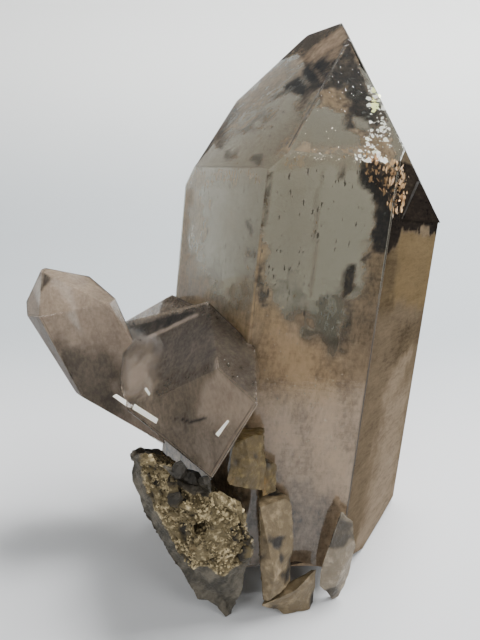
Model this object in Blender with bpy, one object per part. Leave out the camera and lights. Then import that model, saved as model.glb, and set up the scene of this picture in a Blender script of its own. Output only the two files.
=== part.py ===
"""Smoky quartz cluster: one tall crystal, a grown-together pair of side crystals and their rock.

Every crystal is bounded by flat faces placed at quartz's own angles: six prism faces sixty
degrees apart and sloping end faces that rise from them. Broken and grown-over surfaces are
flat-sided chunks roughened inwards, so neighbours keep a hair's gap. Lengths are in
millimetres in the tables of driving sizes below and in metres in the model.
"""
import math

import bmesh
import bpy
import numpy as np
from mathutils import Euler, Vector, noise

MM = 0.001
DOWN = Vector((0, 0, -1))

# Quartz habit
PRISM_STEP = 60.0      # degrees from one prism face to the next
END_RISE = 38.2        # degrees that an end face's normal rises above the cross-section
GAP = 0.3              # mm kept between neighbouring solids
MIDDLE_OF_BASE = (-0.6, 17.6)   # what the finished model has its origin under
EDGE_WEAR = 0.30       # mm of worn edge on every crystal
BEHIND_WEAR = 0.21     # mm of worn edge on the second growth behind the middle crystal
SEAM_MERGE = 0.03      # mm, closer points along a joined seam are one
SMALLEST_EDGE = 0.4    # mm, shorter edges of the rough pieces are merged
ON_GROUND = 1e-3       # mm, lower points lie in the ground plane

# Colour and roughness of each piece
FINISHES = {
    'main_crystal': ((0.27, 0.235, 0.19), 0.06),
    'side_crystals': ((0.24, 0.185, 0.14), 0.07),
    'matrix': ((0.29, 0.245, 0.165), 0.85),
    'yellow_quartz': ((0.22, 0.16, 0.07), 0.30),
    'rock_column': ((0.115, 0.095, 0.075), 0.45),
    'foot_block': ((0.125, 0.108, 0.087), 0.40),
    'foot_shard': ((0.33, 0.29, 0.23), 0.28),
    'chunk': ((0.5, 0.5, 0.5), 0.5),
}

# Relief of the rough pieces: mm between points, mm of the deepest hollow, mm of a lump,
# number of the pattern, and share of angular chips
RELIEFS = {
    'matrix': (4.3, 3.8, 6.5, 1, 0.55),
    'yellow_quartz': (3.2, 1.0, 5.0, 4, 0.8),
    'rock_column': (3.6, 0.8, 5.0, 5, 0.85),
    'foot_block': (3.4, 1.1, 5.5, 6, 0.9),
    'foot_shard': (3.6, 0.7, 7.0, 7, 0.9),
}
STILL = 1.5            # mm above the ground over which the relief fades in

# Main crystal: where its tip stands, how it leans, and how far each face lies from the tip
TIP = (37.4, 30.8, 200.0)
TIP_LEAN = (-5.0, 6.1, 0.1)
FRONT, FRONT_RIGHT, BACK_RIGHT, BACK, BACK_LEFT, FRONT_LEFT = 38.0, 35.0, 58.5, 54.0, 52.4, 39.3
UPPER_BACK_LEFT = 45.6   # the narrower upper growth, left of which a shoulder steps down
END_FRONT, END_FRONT_LEFT, END_BACK_LEFT, END_BACK, END_BACK_RIGHT = 0.0, -3.0, 19.9, 33.0, 14.0
SHOULDER_END = 2.4       # the shoulder's own end face
RIGHT_END = (72.0, 34.0, 0.0)     # steeper right end face: azimuth, rise, distance
TIP_WEAR = ((-105.0, 46.0, 13.6), (-120.0, 85.0, 4.6))   # worn faces behind the very tip

# Its broken foot: mm between the break's lines and their turn, how far the points shift sideways,
# where and how far the foot rises off the ground (start, width, rise), and its relief
FOOT_GRID, FOOT_GRID_TURN, FOOT_SWING, FOOT_SHIFT = 6.5, 20.0, 1.3, 1.6
FOOT_FRONT, FOOT_RIGHT, FOOT_LEFT = (2.0, 24.0, 11.0), (34.0, 26.0, 4.0), (-8.0, 20.0, 12.0)
FOOT_CHUNKS, FOOT_GRIT, FOOT_CHUNK_SIZE = 9.0, 2.6, 0.07
FOOT_SUNK, FOOT_SUNK_BACK = 0.6, 2.2

# Three-cornered growth plate on the front-right prism face, how far it stands out and is rooted
PLATE = ((62.6, 9.0, 145.8), (54.4, -3.2, 134.0), (83.4, 47.0, 126.6))
PLATE_RISE, PLATE_ROOT = 0.8, 2.5

# Middle crystal of the side pair, measured from its foremost corner: azimuth, rise and distance
MIDDLE_CORNER = (-7.0, -31.5, 91.0)
MIDDLE_LEAN = (-15.2, -26.4, -31.1)
MIDDLE_FACES = ((4, 3, 0), (0, 35, 0), (63, 36, 0), (-59, -1, 40.5), (117, -3, 11.0), (174, -1, 17.0))
MIDDLE_UNDER = (((-0.27, 0.10, -0.96), (-18.8, -34.6, 62.1)), ((0.87, 0.0, -0.49), (-1.5, -43.0, 71.5)))

# Second growth just behind the middle crystal, taller by a few millimetres
BEHIND = ((-49, 31, 87), (-27, 24, 101), (-13, 5, 100), (2, -11, 93), (5, -19, 87), (5, -28, 77),
          (-14, -17, 66), (-42, 5, 63), (-51, 49, 81), (-30, 47, 94), (-15, 31, 93), (2, 13, 85),
          (6, 6, 76), (4, -2, 64), (-46, 28, 56))

# Left crystal of the side pair, measured from its tip: azimuth, rise and distance
LEFT_TIP = (-79.1, 30.9, 110.6)
LEFT_LEAN = (-14.2, -23.6, 20.1)
LEFT_FACES = ((5.5, 35.4, 2.2), (-51.6, 42.7, 1.5), (55.1, 43.5, 0.1), (122.2, 49.1, -0.1),
              (-122.3, 49.7, -0.6), (180, 44, 6), (-6.4, 0, 16.6), (60, 3, 21.4), (-65.1, 1.1, 15.2),
              (116.9, -10.7, 15.3), (-118.3, -8.2, 11.5), (180, 0, 17))
LEFT_UNDER = ((-0.50, -0.39, -0.775), (-46.4, 1.5, 57.8))

# Rock with the granular crust: its corners, its own cuts and its pits, each by rim and floor
MATRIX = ((-27, -33, 70), (-31, -33.5, 67), (-38.5, -31, 60), (-38.3, -33, 54), (-34.8, -35.5, 43),
          (-27.4, -37, 30), (-22.6, -36, 18), (-18, -36, 9), (-12.5, -36, 4.2), (-5, -36.5, 0),
          (-2, -33.5, 0), (-7.5, -31.5, 0), (2.5, -36.5, 3.5), (6.0, -35.6, 8),
          (-9, -48, 60), (-20, -47.5, 52), (-8.5, -50.5, 46), (-15, -46.5, 31), (-5, -44.5, 21),
          (3.5, -44, 48), (6.0, -42.5, 33), (-1, -44, 56), (6.0, -39, 20),
          (-36, -12, 54), (-31, -2, 40), (-20, -2, 14), (-10, -12, 1), (-26, 2, 62), (-33, -14, 66),
          (-4, -20, 2), (4, -24, 12))
MATRIX_CUTS = (((1, 0, 0), (5.9, 0, 0)), ((0.15, 0.35, 0.92), (-8.0, -43.0, 61.5)))
PITS = ((((-22.5, -46, 58), (-15.6, -47, 65), (-6.5, -49, 57.5), (-11.5, -50.5, 50.5), (-20.5, -48.5, 52)),
         ((-18, -38, 56.5), (-14.5, -38.5, 59), (-11, -39.5, 55), (-15, -39.5, 53))),
        (((-15.4, -50, 44), (-11.6, -50, 44.5), (-11.5, -50, 41), (-15, -49.5, 40.5)),
         ((-13.9, -42, 42.6), (-12.9, -42, 42.2))))
RIGHT_OF_MATRIX = ((-1, 0, 0), (6.2, 0, 0))

# Pocket on the rock's upper right, where the stained quartz sits: its two sides, then its limits
POCKET_SIDES = (((0.30, 0.35, 0.88), (0.0, -37.7, 51.6)), ((0.97, 0.0, -0.2), (-4.6, -40.5, 57.0)))
POCKET_LIMITS = (((1, 0, 0), (30, 0, 0)), ((0, 0, 1), (0, 0, 90)), ((0, 1, 0), (0, 10, 0)),
                 ((0, -1, 0), (0, -70, 0)))

# Stained quartz and the greenish shard at its right
YELLOW = ((-5.0, -36, 66), (1.6, -34.5, 69), (8.4, -28.5, 67), (9.4, -31.5, 55.4),
          (8.8, -33.0, 47.0), (1, -38.4, 50.2), (-5.4, -41.5, 56.5), (-4.5, -39.5, 62.0),
          (4.0, -38.0, 58.0), (-4.5, -21, 66), (8.5, -21, 66), (9, -21, 47), (-4, -21, 52))
YELLOW_TOP = ((0, 0, 1), (0, 0, 68))
GREEN = ((6.3, -28.0, 57.5), (13.6, -24.0, 53.4), (13.0, -25.7, 42.6), (7.0, -31.4, 43.8),
         (10.5, -29.0, 50.0), (8, -21, 56), (12, -21, 45))

# Fractured foot of dark quartz, in a column over a block, with a pale shard at the right
STEP = ((-0.40, 0.0, 0.917), (17.0, -33.0, 11.3))
COLUMN = ((6, -32, 46), (8.5, -28.0, 46.5), (15.3, -27.4, 43.0), (18.6, -26.4, 39.4),
          (18.9, -31.2, 27), (18.0, -34.3, 9), (7.6, -37.4, 5.2), (6, -37.5, 23),
          (11.7, -40.2, 20), (10, -39.5, 8), (6, -34, 36),
          (6, -19, 44), (17.5, -19, 40), (18.5, -19, 10), (7, -19, 6))
COLUMN_TOP = ((0, 0, 1), (0, 0, 42.2))
BLOCK = ((6.2, -38.4, 7), (9.8, -37.4, 4.0), (15.2, -35.0, 0), (19.8, -34.0, 0), (24.9, -32.6, 0),
         (27.4, -31.0, 1.6), (28.1, -30.0, 5.3), (27.6, -29.4, 16), (17.6, -38.2, 15.0),
         (8, -38.0, 11), (11, -25, 3.0), (22, -24.5, 0), (26, -25.0, 12), (14.5, -25.2, 0))
BLOCK_RIGHT = ((1, 0, 0), (27.5, 0, 0))
SHARD = ((34.6, -27.9, 37.6), (39.6, -27.2, 33.0), (41.6, -26.8, 22.3), (40.4, -26.6, 15.3),
         (38.4, -26.5, 5.3), (35.8, -26.2, 0), (33.2, -27.9, 0), (27.8, -29.6, 7.4),
         (27.8, -29.8, 13.8), (31.1, -30.8, 28.8), (35.5, -31.0, 14), (33.0, -24.6, 0),
         (38.0, -24.5, 12), (30.0, -24.6, 14))
SHARD_LEFT = ((-1, 0, 0), (27.8, 0, 0))


def turn(lean):
    """Rotation matrix of a crystal from its lean in degrees about X, then Y, then Z."""
    return Euler([math.radians(a) for a in lean], 'XYZ').to_matrix()


def face(origin, lean, azimuth, rise, out):
    """Half-space of one crystal face: its outward normal and its distance from the world origin.

    Azimuth 0 looks to the front, and 90 to the right, both in the crystal's own frame.
    """
    a, e = math.radians(azimuth), math.radians(rise)
    local = Vector((math.sin(a) * math.cos(e), -math.cos(a) * math.cos(e), math.sin(e)))
    normal = turn(lean) @ local
    return normal, normal.dot(Vector(origin)) + out


def flat(normal, through):
    """Half-space with a given outward normal, through a point."""
    n = Vector(normal).normalized()
    return n, n.dot(Vector(through))


def grown(planes, extra):
    """The same half-spaces, each moved outwards by extra."""
    return [(n, d + extra) for n, d in planes]


def beyond(plane, gap=GAP):
    """Half-space on the outer side of a face, a gap away, for its neighbour."""
    n, d = plane
    return -n, -(d + gap)


def convex(planes):
    """Bmesh of the solid that all half-spaces share, with one flat polygon for each face."""
    normals = np.array([list(n) for n, _ in planes])
    offsets = np.array([d for _, d in planes])
    corners = []
    count = len(planes)
    for i in range(count):
        for j in range(i + 1, count):
            for k in range(j + 1, count):
                three = normals[[i, j, k]]
                if abs(np.linalg.det(three)) < 1e-6:
                    continue
                p = np.linalg.solve(three, offsets[[i, j, k]])
                if (normals @ p <= offsets + 1e-6).all():
                    if not any(np.linalg.norm(p - q) < 1e-4 for q in corners):
                        corners.append(p)
    bm = bmesh.new()
    verts = [bm.verts.new(c) for c in corners]
    for n, d in planes:
        on = [v for v in verts if abs(n.dot(v.co) - d) < 1e-4]
        if len(on) < 3:
            continue
        centre = sum((v.co for v in on), Vector()) / len(on)
        side = (on[0].co - centre).normalized()
        up = n.cross(side)
        on.sort(key=lambda v: math.atan2((v.co - centre).dot(up), (v.co - centre).dot(side)))
        bm.faces.new(on)
    bmesh.ops.recalc_face_normals(bm, faces=bm.faces)
    return bm


def hull(points):
    """Bmesh of the convex chunk around a set of points."""
    bm = bmesh.new()
    for p in points:
        bm.verts.new(p)
    out = bmesh.ops.convex_hull(bm, input=bm.verts)
    loose = [g for g in out['geom_interior'] if isinstance(g, bmesh.types.BMVert)]
    bmesh.ops.delete(bm, geom=loose, context='VERTS')
    bmesh.ops.delete(bm, geom=[v for v in bm.verts if not v.link_faces], context='VERTS')
    bmesh.ops.dissolve_limit(bm, angle_limit=math.radians(1), verts=bm.verts, edges=bm.edges)
    bmesh.ops.recalc_face_normals(bm, faces=bm.faces)
    return bm


def trim(bm, planes):
    """Keep only what lies inside the half-spaces, with flat caps."""
    for n, d in planes:
        geom = bm.verts[:] + bm.edges[:] + bm.faces[:]
        cut = bmesh.ops.bisect_plane(bm, geom=geom, plane_co=n * d, plane_no=n, clear_outer=True)
        edges = [g for g in cut['geom_cut'] if isinstance(g, bmesh.types.BMEdge)]
        if edges:
            bmesh.ops.contextual_create(bm, geom=edges)
    bmesh.ops.recalc_face_normals(bm, faces=bm.faces)
    return bm


def wear(bm, width):
    """Fine chamfer along every edge."""
    bmesh.ops.bevel(bm, geom=bm.edges[:], offset=width, segments=1, affect='EDGES',
                    clamp_overlap=True)
    return bm


def finer(bm, length):
    """Split long edges until none is much longer than length."""
    bmesh.ops.triangulate(bm, faces=bm.faces)
    for _ in range(8):
        long = [e for e in bm.edges if e.calc_length() > length * 1.35]
        if not long:
            break
        bmesh.ops.subdivide_edges(bm, edges=long, cuts=1, use_grid_fill=False)
        bmesh.ops.triangulate(bm, faces=[f for f in bm.faces if len(f.verts) > 3])
    bmesh.ops.beautify_fill(bm, faces=bm.faces, edges=[e for e in bm.edges if e.calc_face_angle(0) < 0.01])
    return bm


def roughen(bm, depth, grain, seed, chips):
    """Push the skin inwards by chunky and fine noise; what stands on the ground stays flat.

    depth is the deepest hollow and grain the size of a lump, both in mm; chips is the share
    of angular chips in the relief.
    """
    bm.normal_update()
    shift = Vector((seed * 17.3, seed * -9.1, seed * 5.7))
    moves = []
    for v in bm.verts:
        p = v.co / grain + shift
        angular = min(1.0, noise.voronoi(p)[0][0] * 1.3)
        soft = 0.5 + 0.5 * noise.fractal(p * 0.9, 1.0, 2.1, 3)
        amount = depth * max(0.0, min(1.0, chips * angular + (1 - chips) * soft))
        amount *= min(1.0, max(0.0, v.co.z / STILL))
        moves.append((v, v.normal * -amount))
    for v, move in moves:
        ground = v.co.z < ON_GROUND
        v.co += move
        if ground:
            v.co.z = 0.0
        v.co.z = max(v.co.z, 0.0)
    return bm


def solid(name, bm):
    """Named object in metres with its own Principled material."""
    bmesh.ops.triangulate(bm, faces=bm.faces)
    bmesh.ops.scale(bm, vec=(MM, MM, MM), verts=bm.verts)
    mesh = bpy.data.meshes.new(name)
    bm.to_mesh(mesh)
    bm.free()
    obj = bpy.data.objects.new(name, mesh)
    bpy.context.scene.collection.objects.link(obj)
    colour, roughness = FINISHES[name]
    mat = bpy.data.materials.new(name + '_finish')
    mat.use_nodes = True
    shader = mat.node_tree.nodes['Principled BSDF']
    shader.inputs['Base Color'].default_value = (*colour, 1.0)
    shader.inputs['Roughness'].default_value = roughness
    shader.inputs['Metallic'].default_value = 0.0
    mesh.materials.append(mat)
    return obj


def put_in_order(mesh):
    """Give a mesh's points and faces a fixed order, whatever order a Boolean left them in."""
    places = [tuple(round(c / MM, 3) for c in v.co) for v in mesh.vertices]
    order = sorted(range(len(places)), key=places.__getitem__)
    rank = {old: new for new, old in enumerate(order)}
    rings = []
    for poly in mesh.polygons:
        ring = [rank[i] for i in poly.vertices]
        start = ring.index(min(ring))
        rings.append(ring[start:] + ring[:start])
    points = [mesh.vertices[i].co[:] for i in order]
    mesh.clear_geometry()
    mesh.from_pydata(points, [], sorted(rings))


def combine(target, bm, operation):
    """Boolean of a finished object with one more chunk, which is used up."""
    tool = solid('chunk', bm)
    mod = target.modifiers.new('work', 'BOOLEAN')
    mod.operation = operation
    mod.solver = 'EXACT'
    mod.object = tool
    graph = bpy.context.evaluated_depsgraph_get()
    made = bpy.data.meshes.new_from_object(target.evaluated_get(graph))
    target.modifiers.remove(mod)
    old = target.data
    finish = old.materials[0]
    target.data = made
    bpy.data.meshes.remove(old)
    bpy.data.objects.remove(tool)
    put_in_order(made)
    work = bmesh.new()
    work.from_mesh(made)
    bmesh.ops.remove_doubles(work, verts=work.verts, dist=SEAM_MERGE * MM)
    bmesh.ops.dissolve_degenerate(work, dist=SEAM_MERGE * MM, edges=work.edges)
    work.to_mesh(made)
    work.free()
    put_in_order(made)
    made.materials.clear()
    made.materials.append(finish)
    made.name = target.name
    return target


def remade(obj, work):
    """Run a bmesh step, which works in mm, on a finished object."""
    bm = bmesh.new()
    bm.from_mesh(obj.data)
    bmesh.ops.scale(bm, vec=(1 / MM, 1 / MM, 1 / MM), verts=bm.verts)
    work(bm)
    bmesh.ops.scale(bm, vec=(MM, MM, MM), verts=bm.verts)
    bm.to_mesh(obj.data)
    bm.free()
    return obj


def main_faces():
    """Half-spaces of the main crystal, prism first and then ends, without its broken foot."""
    def put(azimuth, rise, out):
        return face(TIP, TIP_LEAN, azimuth, rise, out)
    prism = [put(0, 0, FRONT), put(PRISM_STEP, 0, FRONT_RIGHT), put(2 * PRISM_STEP, 0, BACK_RIGHT),
             put(180, 0, BACK), put(-2 * PRISM_STEP, 0, BACK_LEFT), put(-PRISM_STEP, 0, FRONT_LEFT)]
    ends = [put(0, END_RISE, END_FRONT), put(-PRISM_STEP, END_RISE, END_FRONT_LEFT),
            put(-2 * PRISM_STEP, END_RISE, END_BACK_LEFT), put(180, END_RISE, END_BACK),
            put(2 * PRISM_STEP, END_RISE, END_BACK_RIGHT), put(*RIGHT_END), put(*TIP_WEAR[0]),
            put(*TIP_WEAR[1])]
    return prism, ends


def share(distance, width):
    """How far a distance has run over a width, from 0 to 1."""
    return max(0.0, min(1.0, distance / width))


def floor_height(x, y):
    """Height of the main crystal's broken foot, in mm; where it is below ground it stands flat."""
    front = share(FOOT_FRONT[0] - y, FOOT_FRONT[1])
    right = share(x - FOOT_RIGHT[0], FOOT_RIGHT[1])
    left = share(FOOT_LEFT[0] - x, FOOT_LEFT[1])
    base = FOOT_FRONT[2] * front + FOOT_RIGHT[2] * right + FOOT_LEFT[2] * left
    p = Vector((x * FOOT_CHUNK_SIZE, y * FOOT_CHUNK_SIZE, 3.1))
    chunky = min(1.0, noise.voronoi(p)[0][0]) - 0.32
    relief = FOOT_CHUNKS * chunky + FOOT_GRIT * noise.fractal(p * 2.3, 1.0, 2.0, 3)
    sunk = FOOT_SUNK + FOOT_SUNK_BACK * (1.0 - front)
    return max(0.0, base + relief * (1.0 - 0.6 * right) - sunk)


def ground_faces(bm):
    """Faces that lie in the ground plane."""
    return [f for f in bm.faces if all(abs(v.co.z) < ON_GROUND for v in f.verts)]


def break_foot(bm):
    """Divide the flat foot by two sets of crossing lines and shift the points between them."""
    bmesh.ops.dissolve_faces(bm, faces=ground_faces(bm))
    for turned in (FOOT_GRID_TURN, FOOT_GRID_TURN + 90.0):
        across = Vector((math.cos(math.radians(turned)), math.sin(math.radians(turned)), 0.0))
        for k in range(-12, 22):
            faces = ground_faces(bm)
            edges = [e for e in bm.edges if any(f in faces for f in e.link_faces)]
            verts = [v for v in bm.verts if any(f in faces for f in v.link_faces)]
            through = across * (k * FOOT_GRID + FOOT_SWING * math.sin(k * 2.1))
            bmesh.ops.bisect_plane(bm, geom=verts + edges + faces, plane_co=through, plane_no=across)
    faces = ground_faces(bm)
    inner = [v for v in bm.verts if v.link_faces and all(f in faces for f in v.link_faces)]
    for v in inner:
        p = Vector((v.co.x * 0.11, v.co.y * 0.11, 0.7))
        v.co += Vector((noise.noise(p), noise.noise(p + Vector((0.0, 0.0, 8.0))), 0.0)) * FOOT_SHIFT


def lift_foot(bm):
    """Turn the divided foot into a fractured one, by lifting its points along the crystal's axis."""
    bmesh.ops.triangulate(bm, faces=ground_faces(bm), quad_method='FIXED', ngon_method='EAR_CLIP')
    axis = turn(TIP_LEAN) @ Vector((0, 0, 1))
    for v in [v for v in bm.verts if abs(v.co.z) < ON_GROUND]:
        v.co += axis * (floor_height(v.co.x, v.co.y) / axis.z)


def main_crystal():
    """Tall clear crystal with its left shoulder, growth plate and fractured foot."""
    prism, ends = main_faces()
    below = flat(DOWN, (0, 0, -30))
    body = trim(wear(convex(prism + ends + [below]), EDGE_WEAR), [(DOWN, 0.0)])
    obj = solid('main_crystal', body)
    # Shoulder: what is outside the upper growth's side and above the shoulder's own end
    upper = face(TIP, TIP_LEAN, -2 * PRISM_STEP, 0, UPPER_BACK_LEFT)
    step = face(TIP, TIP_LEAN, -2 * PRISM_STEP, END_RISE, SHOULDER_END)
    notch = convex([beyond(upper, 0.0), beyond(step, 0.0), flat((-1, 0, 0), (-140, 0, 0)),
                    flat((0, 0, 1), (0, 0, 260)), flat((0, 1, 0), (0, 190, 0)),
                    flat((0, -1, 0), (0, -190, 0))])
    combine(obj, notch, 'DIFFERENCE')
    # Low three-cornered growth plate at the top of the front-right prism face
    out, _ = face(TIP, TIP_LEAN, PRISM_STEP, 0, FRONT_RIGHT)
    corners = [Vector(c) for c in PLATE]
    plate = [c + out * PLATE_RISE for c in corners] + [c - out * PLATE_ROOT for c in corners]
    combine(obj, hull(plate), 'UNION')
    remade(obj, break_foot)
    put_in_order(obj.data)
    return remade(obj, lift_foot)


def middle_faces():
    """Half-spaces of the middle crystal's front growth, then of its two broken undersides."""
    faces = [face(MIDDLE_CORNER, MIDDLE_LEAN, *place) for place in MIDDLE_FACES]
    return faces, [flat(*plane) for plane in MIDDLE_UNDER]


def left_faces():
    """Half-spaces of the left crystal with its broken lower end."""
    return [face(LEFT_TIP, LEFT_LEAN, *place) for place in LEFT_FACES] + [flat(*LEFT_UNDER)]


def side_crystals():
    """Left and middle crystals, which grow through each other and are one solid."""
    front, unders = middle_faces()
    obj = solid('side_crystals', wear(convex(front + unders), EDGE_WEAR))
    combine(obj, wear(trim(hull(BEHIND), unders), BEHIND_WEAR), 'UNION')
    combine(obj, wear(convex(left_faces()), EDGE_WEAR), 'UNION')
    prism, ends = main_faces()
    combine(obj, convex(grown(prism + ends, GAP) + [flat(DOWN, (0, 0, -5))]), 'DIFFERENCE')
    return obj


def roughened(obj):
    """Finely divide a finished chunk and give it its relief."""
    length, *relief = RELIEFS[obj.name]

    def work(bm):
        bmesh.ops.remove_doubles(bm, verts=bm.verts, dist=SMALLEST_EDGE)
        bmesh.ops.dissolve_degenerate(bm, dist=SMALLEST_EDGE, edges=bm.edges)
        roughen(finer(bm, length), *relief)
    return remade(obj, work)


def matrix_rock(main_side, pocket):
    """Lumpy rock with a granular crust, under the side pair and against the main crystal."""
    cuts = [beyond(main_side), (DOWN, 0.0), beyond(middle_faces()[1][0]), beyond(flat(*LEFT_UNDER))]
    cuts += [flat(*plane) for plane in MATRIX_CUTS]
    obj = solid('matrix', trim(hull(MATRIX), cuts))
    combine(obj, convex(grown(pocket, GAP)), 'DIFFERENCE')
    for rim, floor in PITS:
        combine(obj, hull(rim + floor), 'DIFFERENCE')
    return roughened(obj)


def stained_quartz(front, pocket):
    """Iron-stained quartz in the rock's pocket, with the greenish shard at its right."""
    obj = solid('yellow_quartz', trim(hull(YELLOW), [front, flat(*YELLOW_TOP)] + pocket[:2]))
    combine(obj, trim(hull(GREEN), [front, flat(*RIGHT_OF_MATRIX)]), 'UNION')
    middle, unders = middle_faces()
    combine(obj, convex(grown(middle + unders, GAP)), 'DIFFERENCE')
    return roughened(obj)


def build():
    """All sub-parts of the cluster."""
    main_crystal()
    side_crystals()
    prism, _ = main_faces()
    front = beyond(prism[0])
    right_of_matrix = flat(*RIGHT_OF_MATRIX)
    pocket = [beyond(flat(*plane), 0.0) for plane in POCKET_SIDES]
    pocket += [flat(*plane) for plane in POCKET_LIMITS]
    matrix_rock(prism[5], pocket)
    stained_quartz(front, pocket)
    step = flat(*STEP)
    column = trim(hull(COLUMN), [front, right_of_matrix, beyond(step), flat(*COLUMN_TOP)])
    roughened(solid('rock_column', column))
    block = trim(hull(BLOCK), [front, right_of_matrix, (DOWN, 0.0), step, flat(*BLOCK_RIGHT)])
    roughened(solid('foot_block', block))
    roughened(solid('foot_shard', trim(hull(SHARD), [front, (DOWN, 0.0), flat(*SHARD_LEFT)])))


for old in list(bpy.data.objects):
    bpy.data.objects.remove(old, do_unlink=True)
build()
for piece in bpy.data.objects:
    piece.location = (-MIDDLE_OF_BASE[0] * MM, -MIDDLE_OF_BASE[1] * MM, 0.0)
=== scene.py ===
"""Looks of a smoky quartz cluster: clear and cloudy crystals, their veils, stains and granular rock.

Every length is in millimetres in the model's own frame, unless its name says metres. The outlines of
veils and stains were picked in the photo, in its pixels from the top left, and the script lays
them on the crystal faces itself.
"""
import logging
import math
import random
from dataclasses import dataclass
from enum import Enum
from typing import Iterable, Union

import bmesh
import bpy
from mathutils import Euler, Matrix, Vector, noise


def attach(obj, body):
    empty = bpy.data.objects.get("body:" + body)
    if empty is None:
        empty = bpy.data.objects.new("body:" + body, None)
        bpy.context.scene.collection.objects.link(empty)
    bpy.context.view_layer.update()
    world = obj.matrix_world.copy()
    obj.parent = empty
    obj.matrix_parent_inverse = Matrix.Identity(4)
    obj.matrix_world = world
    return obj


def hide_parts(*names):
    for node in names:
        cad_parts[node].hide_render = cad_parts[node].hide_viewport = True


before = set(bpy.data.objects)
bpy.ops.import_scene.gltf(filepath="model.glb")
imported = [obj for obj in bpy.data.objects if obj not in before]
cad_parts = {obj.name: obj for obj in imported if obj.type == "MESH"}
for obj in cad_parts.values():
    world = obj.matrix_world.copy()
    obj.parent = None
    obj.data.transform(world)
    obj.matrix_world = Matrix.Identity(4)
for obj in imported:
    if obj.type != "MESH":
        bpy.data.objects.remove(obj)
LOG = logging.getLogger("smoky_quartz")
MM = 0.001
Triple = tuple[float, float, float]
Colour = tuple[float, float, float]
Flat = tuple[float, float]
Ring = tuple[Flat, ...]
Number = Union[float, "Wire"]

# Leans of the crystals in degrees about X, Y and Z
MAIN_LEAN = (-5.0, 6.1, 0.1)
MIDDLE_LEAN = (-15.2, -26.4, -31.1)
LEFT_LEAN = (-14.2, -23.6, 20.1)

# Limits for reading the solids: polygons lie in one face within this cosine and distance, faces
# count as level with each other within this cosine, and a large face wins among equal ones
SAME_FACE, SAME_DISTANCE = 0.9995, 0.5
LEVEL_FACES = 0.998
AREA_CAP, AREA_WEIGHT = 5000.0, 1e-6

# Thinnest cloud that still gets a sheet, depth of the glints, reach of the weld in metres, and Y of
# the upright plane that the crust's outlines are laid on
THINNEST_CLOUD = 0.03
GLINT_DEPTH = 0.3
WELD_METRES = 1e-6
ROCK_DEPTH = -60.0
QUARTZ_IOR = 1.544


class Slot(Enum):
    """Names of material slots for the new pieces; nothing in the script uses them."""

    CLEAR = "clear_smoky_quartz"
    BROWN = "brown_smoky_quartz"
    ROCK = "granular_rock"
    STAINED = "stained_quartz"
    DARK = "dark_quartz"
    PALE = "pale_quartz"


def ease(low: float, high: float, x: float) -> float:
    """Smooth step from 0 at low to 1 at high.

    Args:
        low: Value at which the result leaves 0.
        high: Value at which it reaches 1; it may be lower than low.
        x: The value to read.

    Returns:
        A number from 0 to 1.
    """
    t = max(0.0, min(1.0, (x - low) / (high - low)))
    return t * t * (3.0 - 2.0 * t)


def fractal(p: Vector, size: float, octaves: int = 3, seed: float = 0.0) -> float:
    """Fractal noise from about -1 to 1.

    Args:
        p: Place in mm.
        size: Size of the largest lumps in mm.
        octaves: How many finer layers it has.
        seed: Offset that makes another pattern.

    Returns:
        The noise value.
    """
    q = p / size + Vector((seed * 3.1, seed * -1.7, seed * 2.3))
    return noise.fractal(q, 1.0, 2.0, octaves)


def room_in(ring: Ring, x: float, z: float) -> float:
    """Distance from a flat point to a ring's outline.

    Args:
        ring: Corners of the ring, as X and Z in mm.
        x: The point's X in mm.
        z: The point's Z in mm.

    Returns:
        The distance in mm, positive inside the ring.
    """
    nearest, inside = 1e9, False
    for (ax, az), (bx, bz) in zip(ring, ring[1:] + ring[:1]):
        dx, dz = bx - ax, bz - az
        t = max(0.0, min(1.0, ((x - ax) * dx + (z - az) * dz) / (dx * dx + dz * dz + 1e-9)))
        nearest = min(nearest, math.hypot(x - ax - t * dx, z - az - t * dz))
        if (az > z) != (bz > z) and x < ax + (z - az) / (bz - az) * dx:
            inside = not inside
    return nearest if inside else -nearest


def extent(ring: Iterable[Flat]) -> tuple[list[float], list[float]]:
    """Lowest and highest value of flat points along both axes."""
    return [min(axis) for axis in zip(*ring)], [max(axis) for axis in zip(*ring)]


def towards(lean: Triple, azimuth: float, rise: float) -> Vector:
    """Direction in the frame of a leaning crystal.

    Args:
        lean: The crystal's lean in degrees.
        azimuth: Degrees around its axis; 0 is the front and 90 the right.
        rise: Degrees above its cross-section.

    Returns:
        The direction, one unit long.
    """
    a, e = math.radians(azimuth), math.radians(rise)
    local = Vector((math.sin(a) * math.cos(e), -math.cos(a) * math.cos(e), math.sin(e)))
    return Euler([math.radians(v) for v in lean]).to_matrix() @ local


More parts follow.
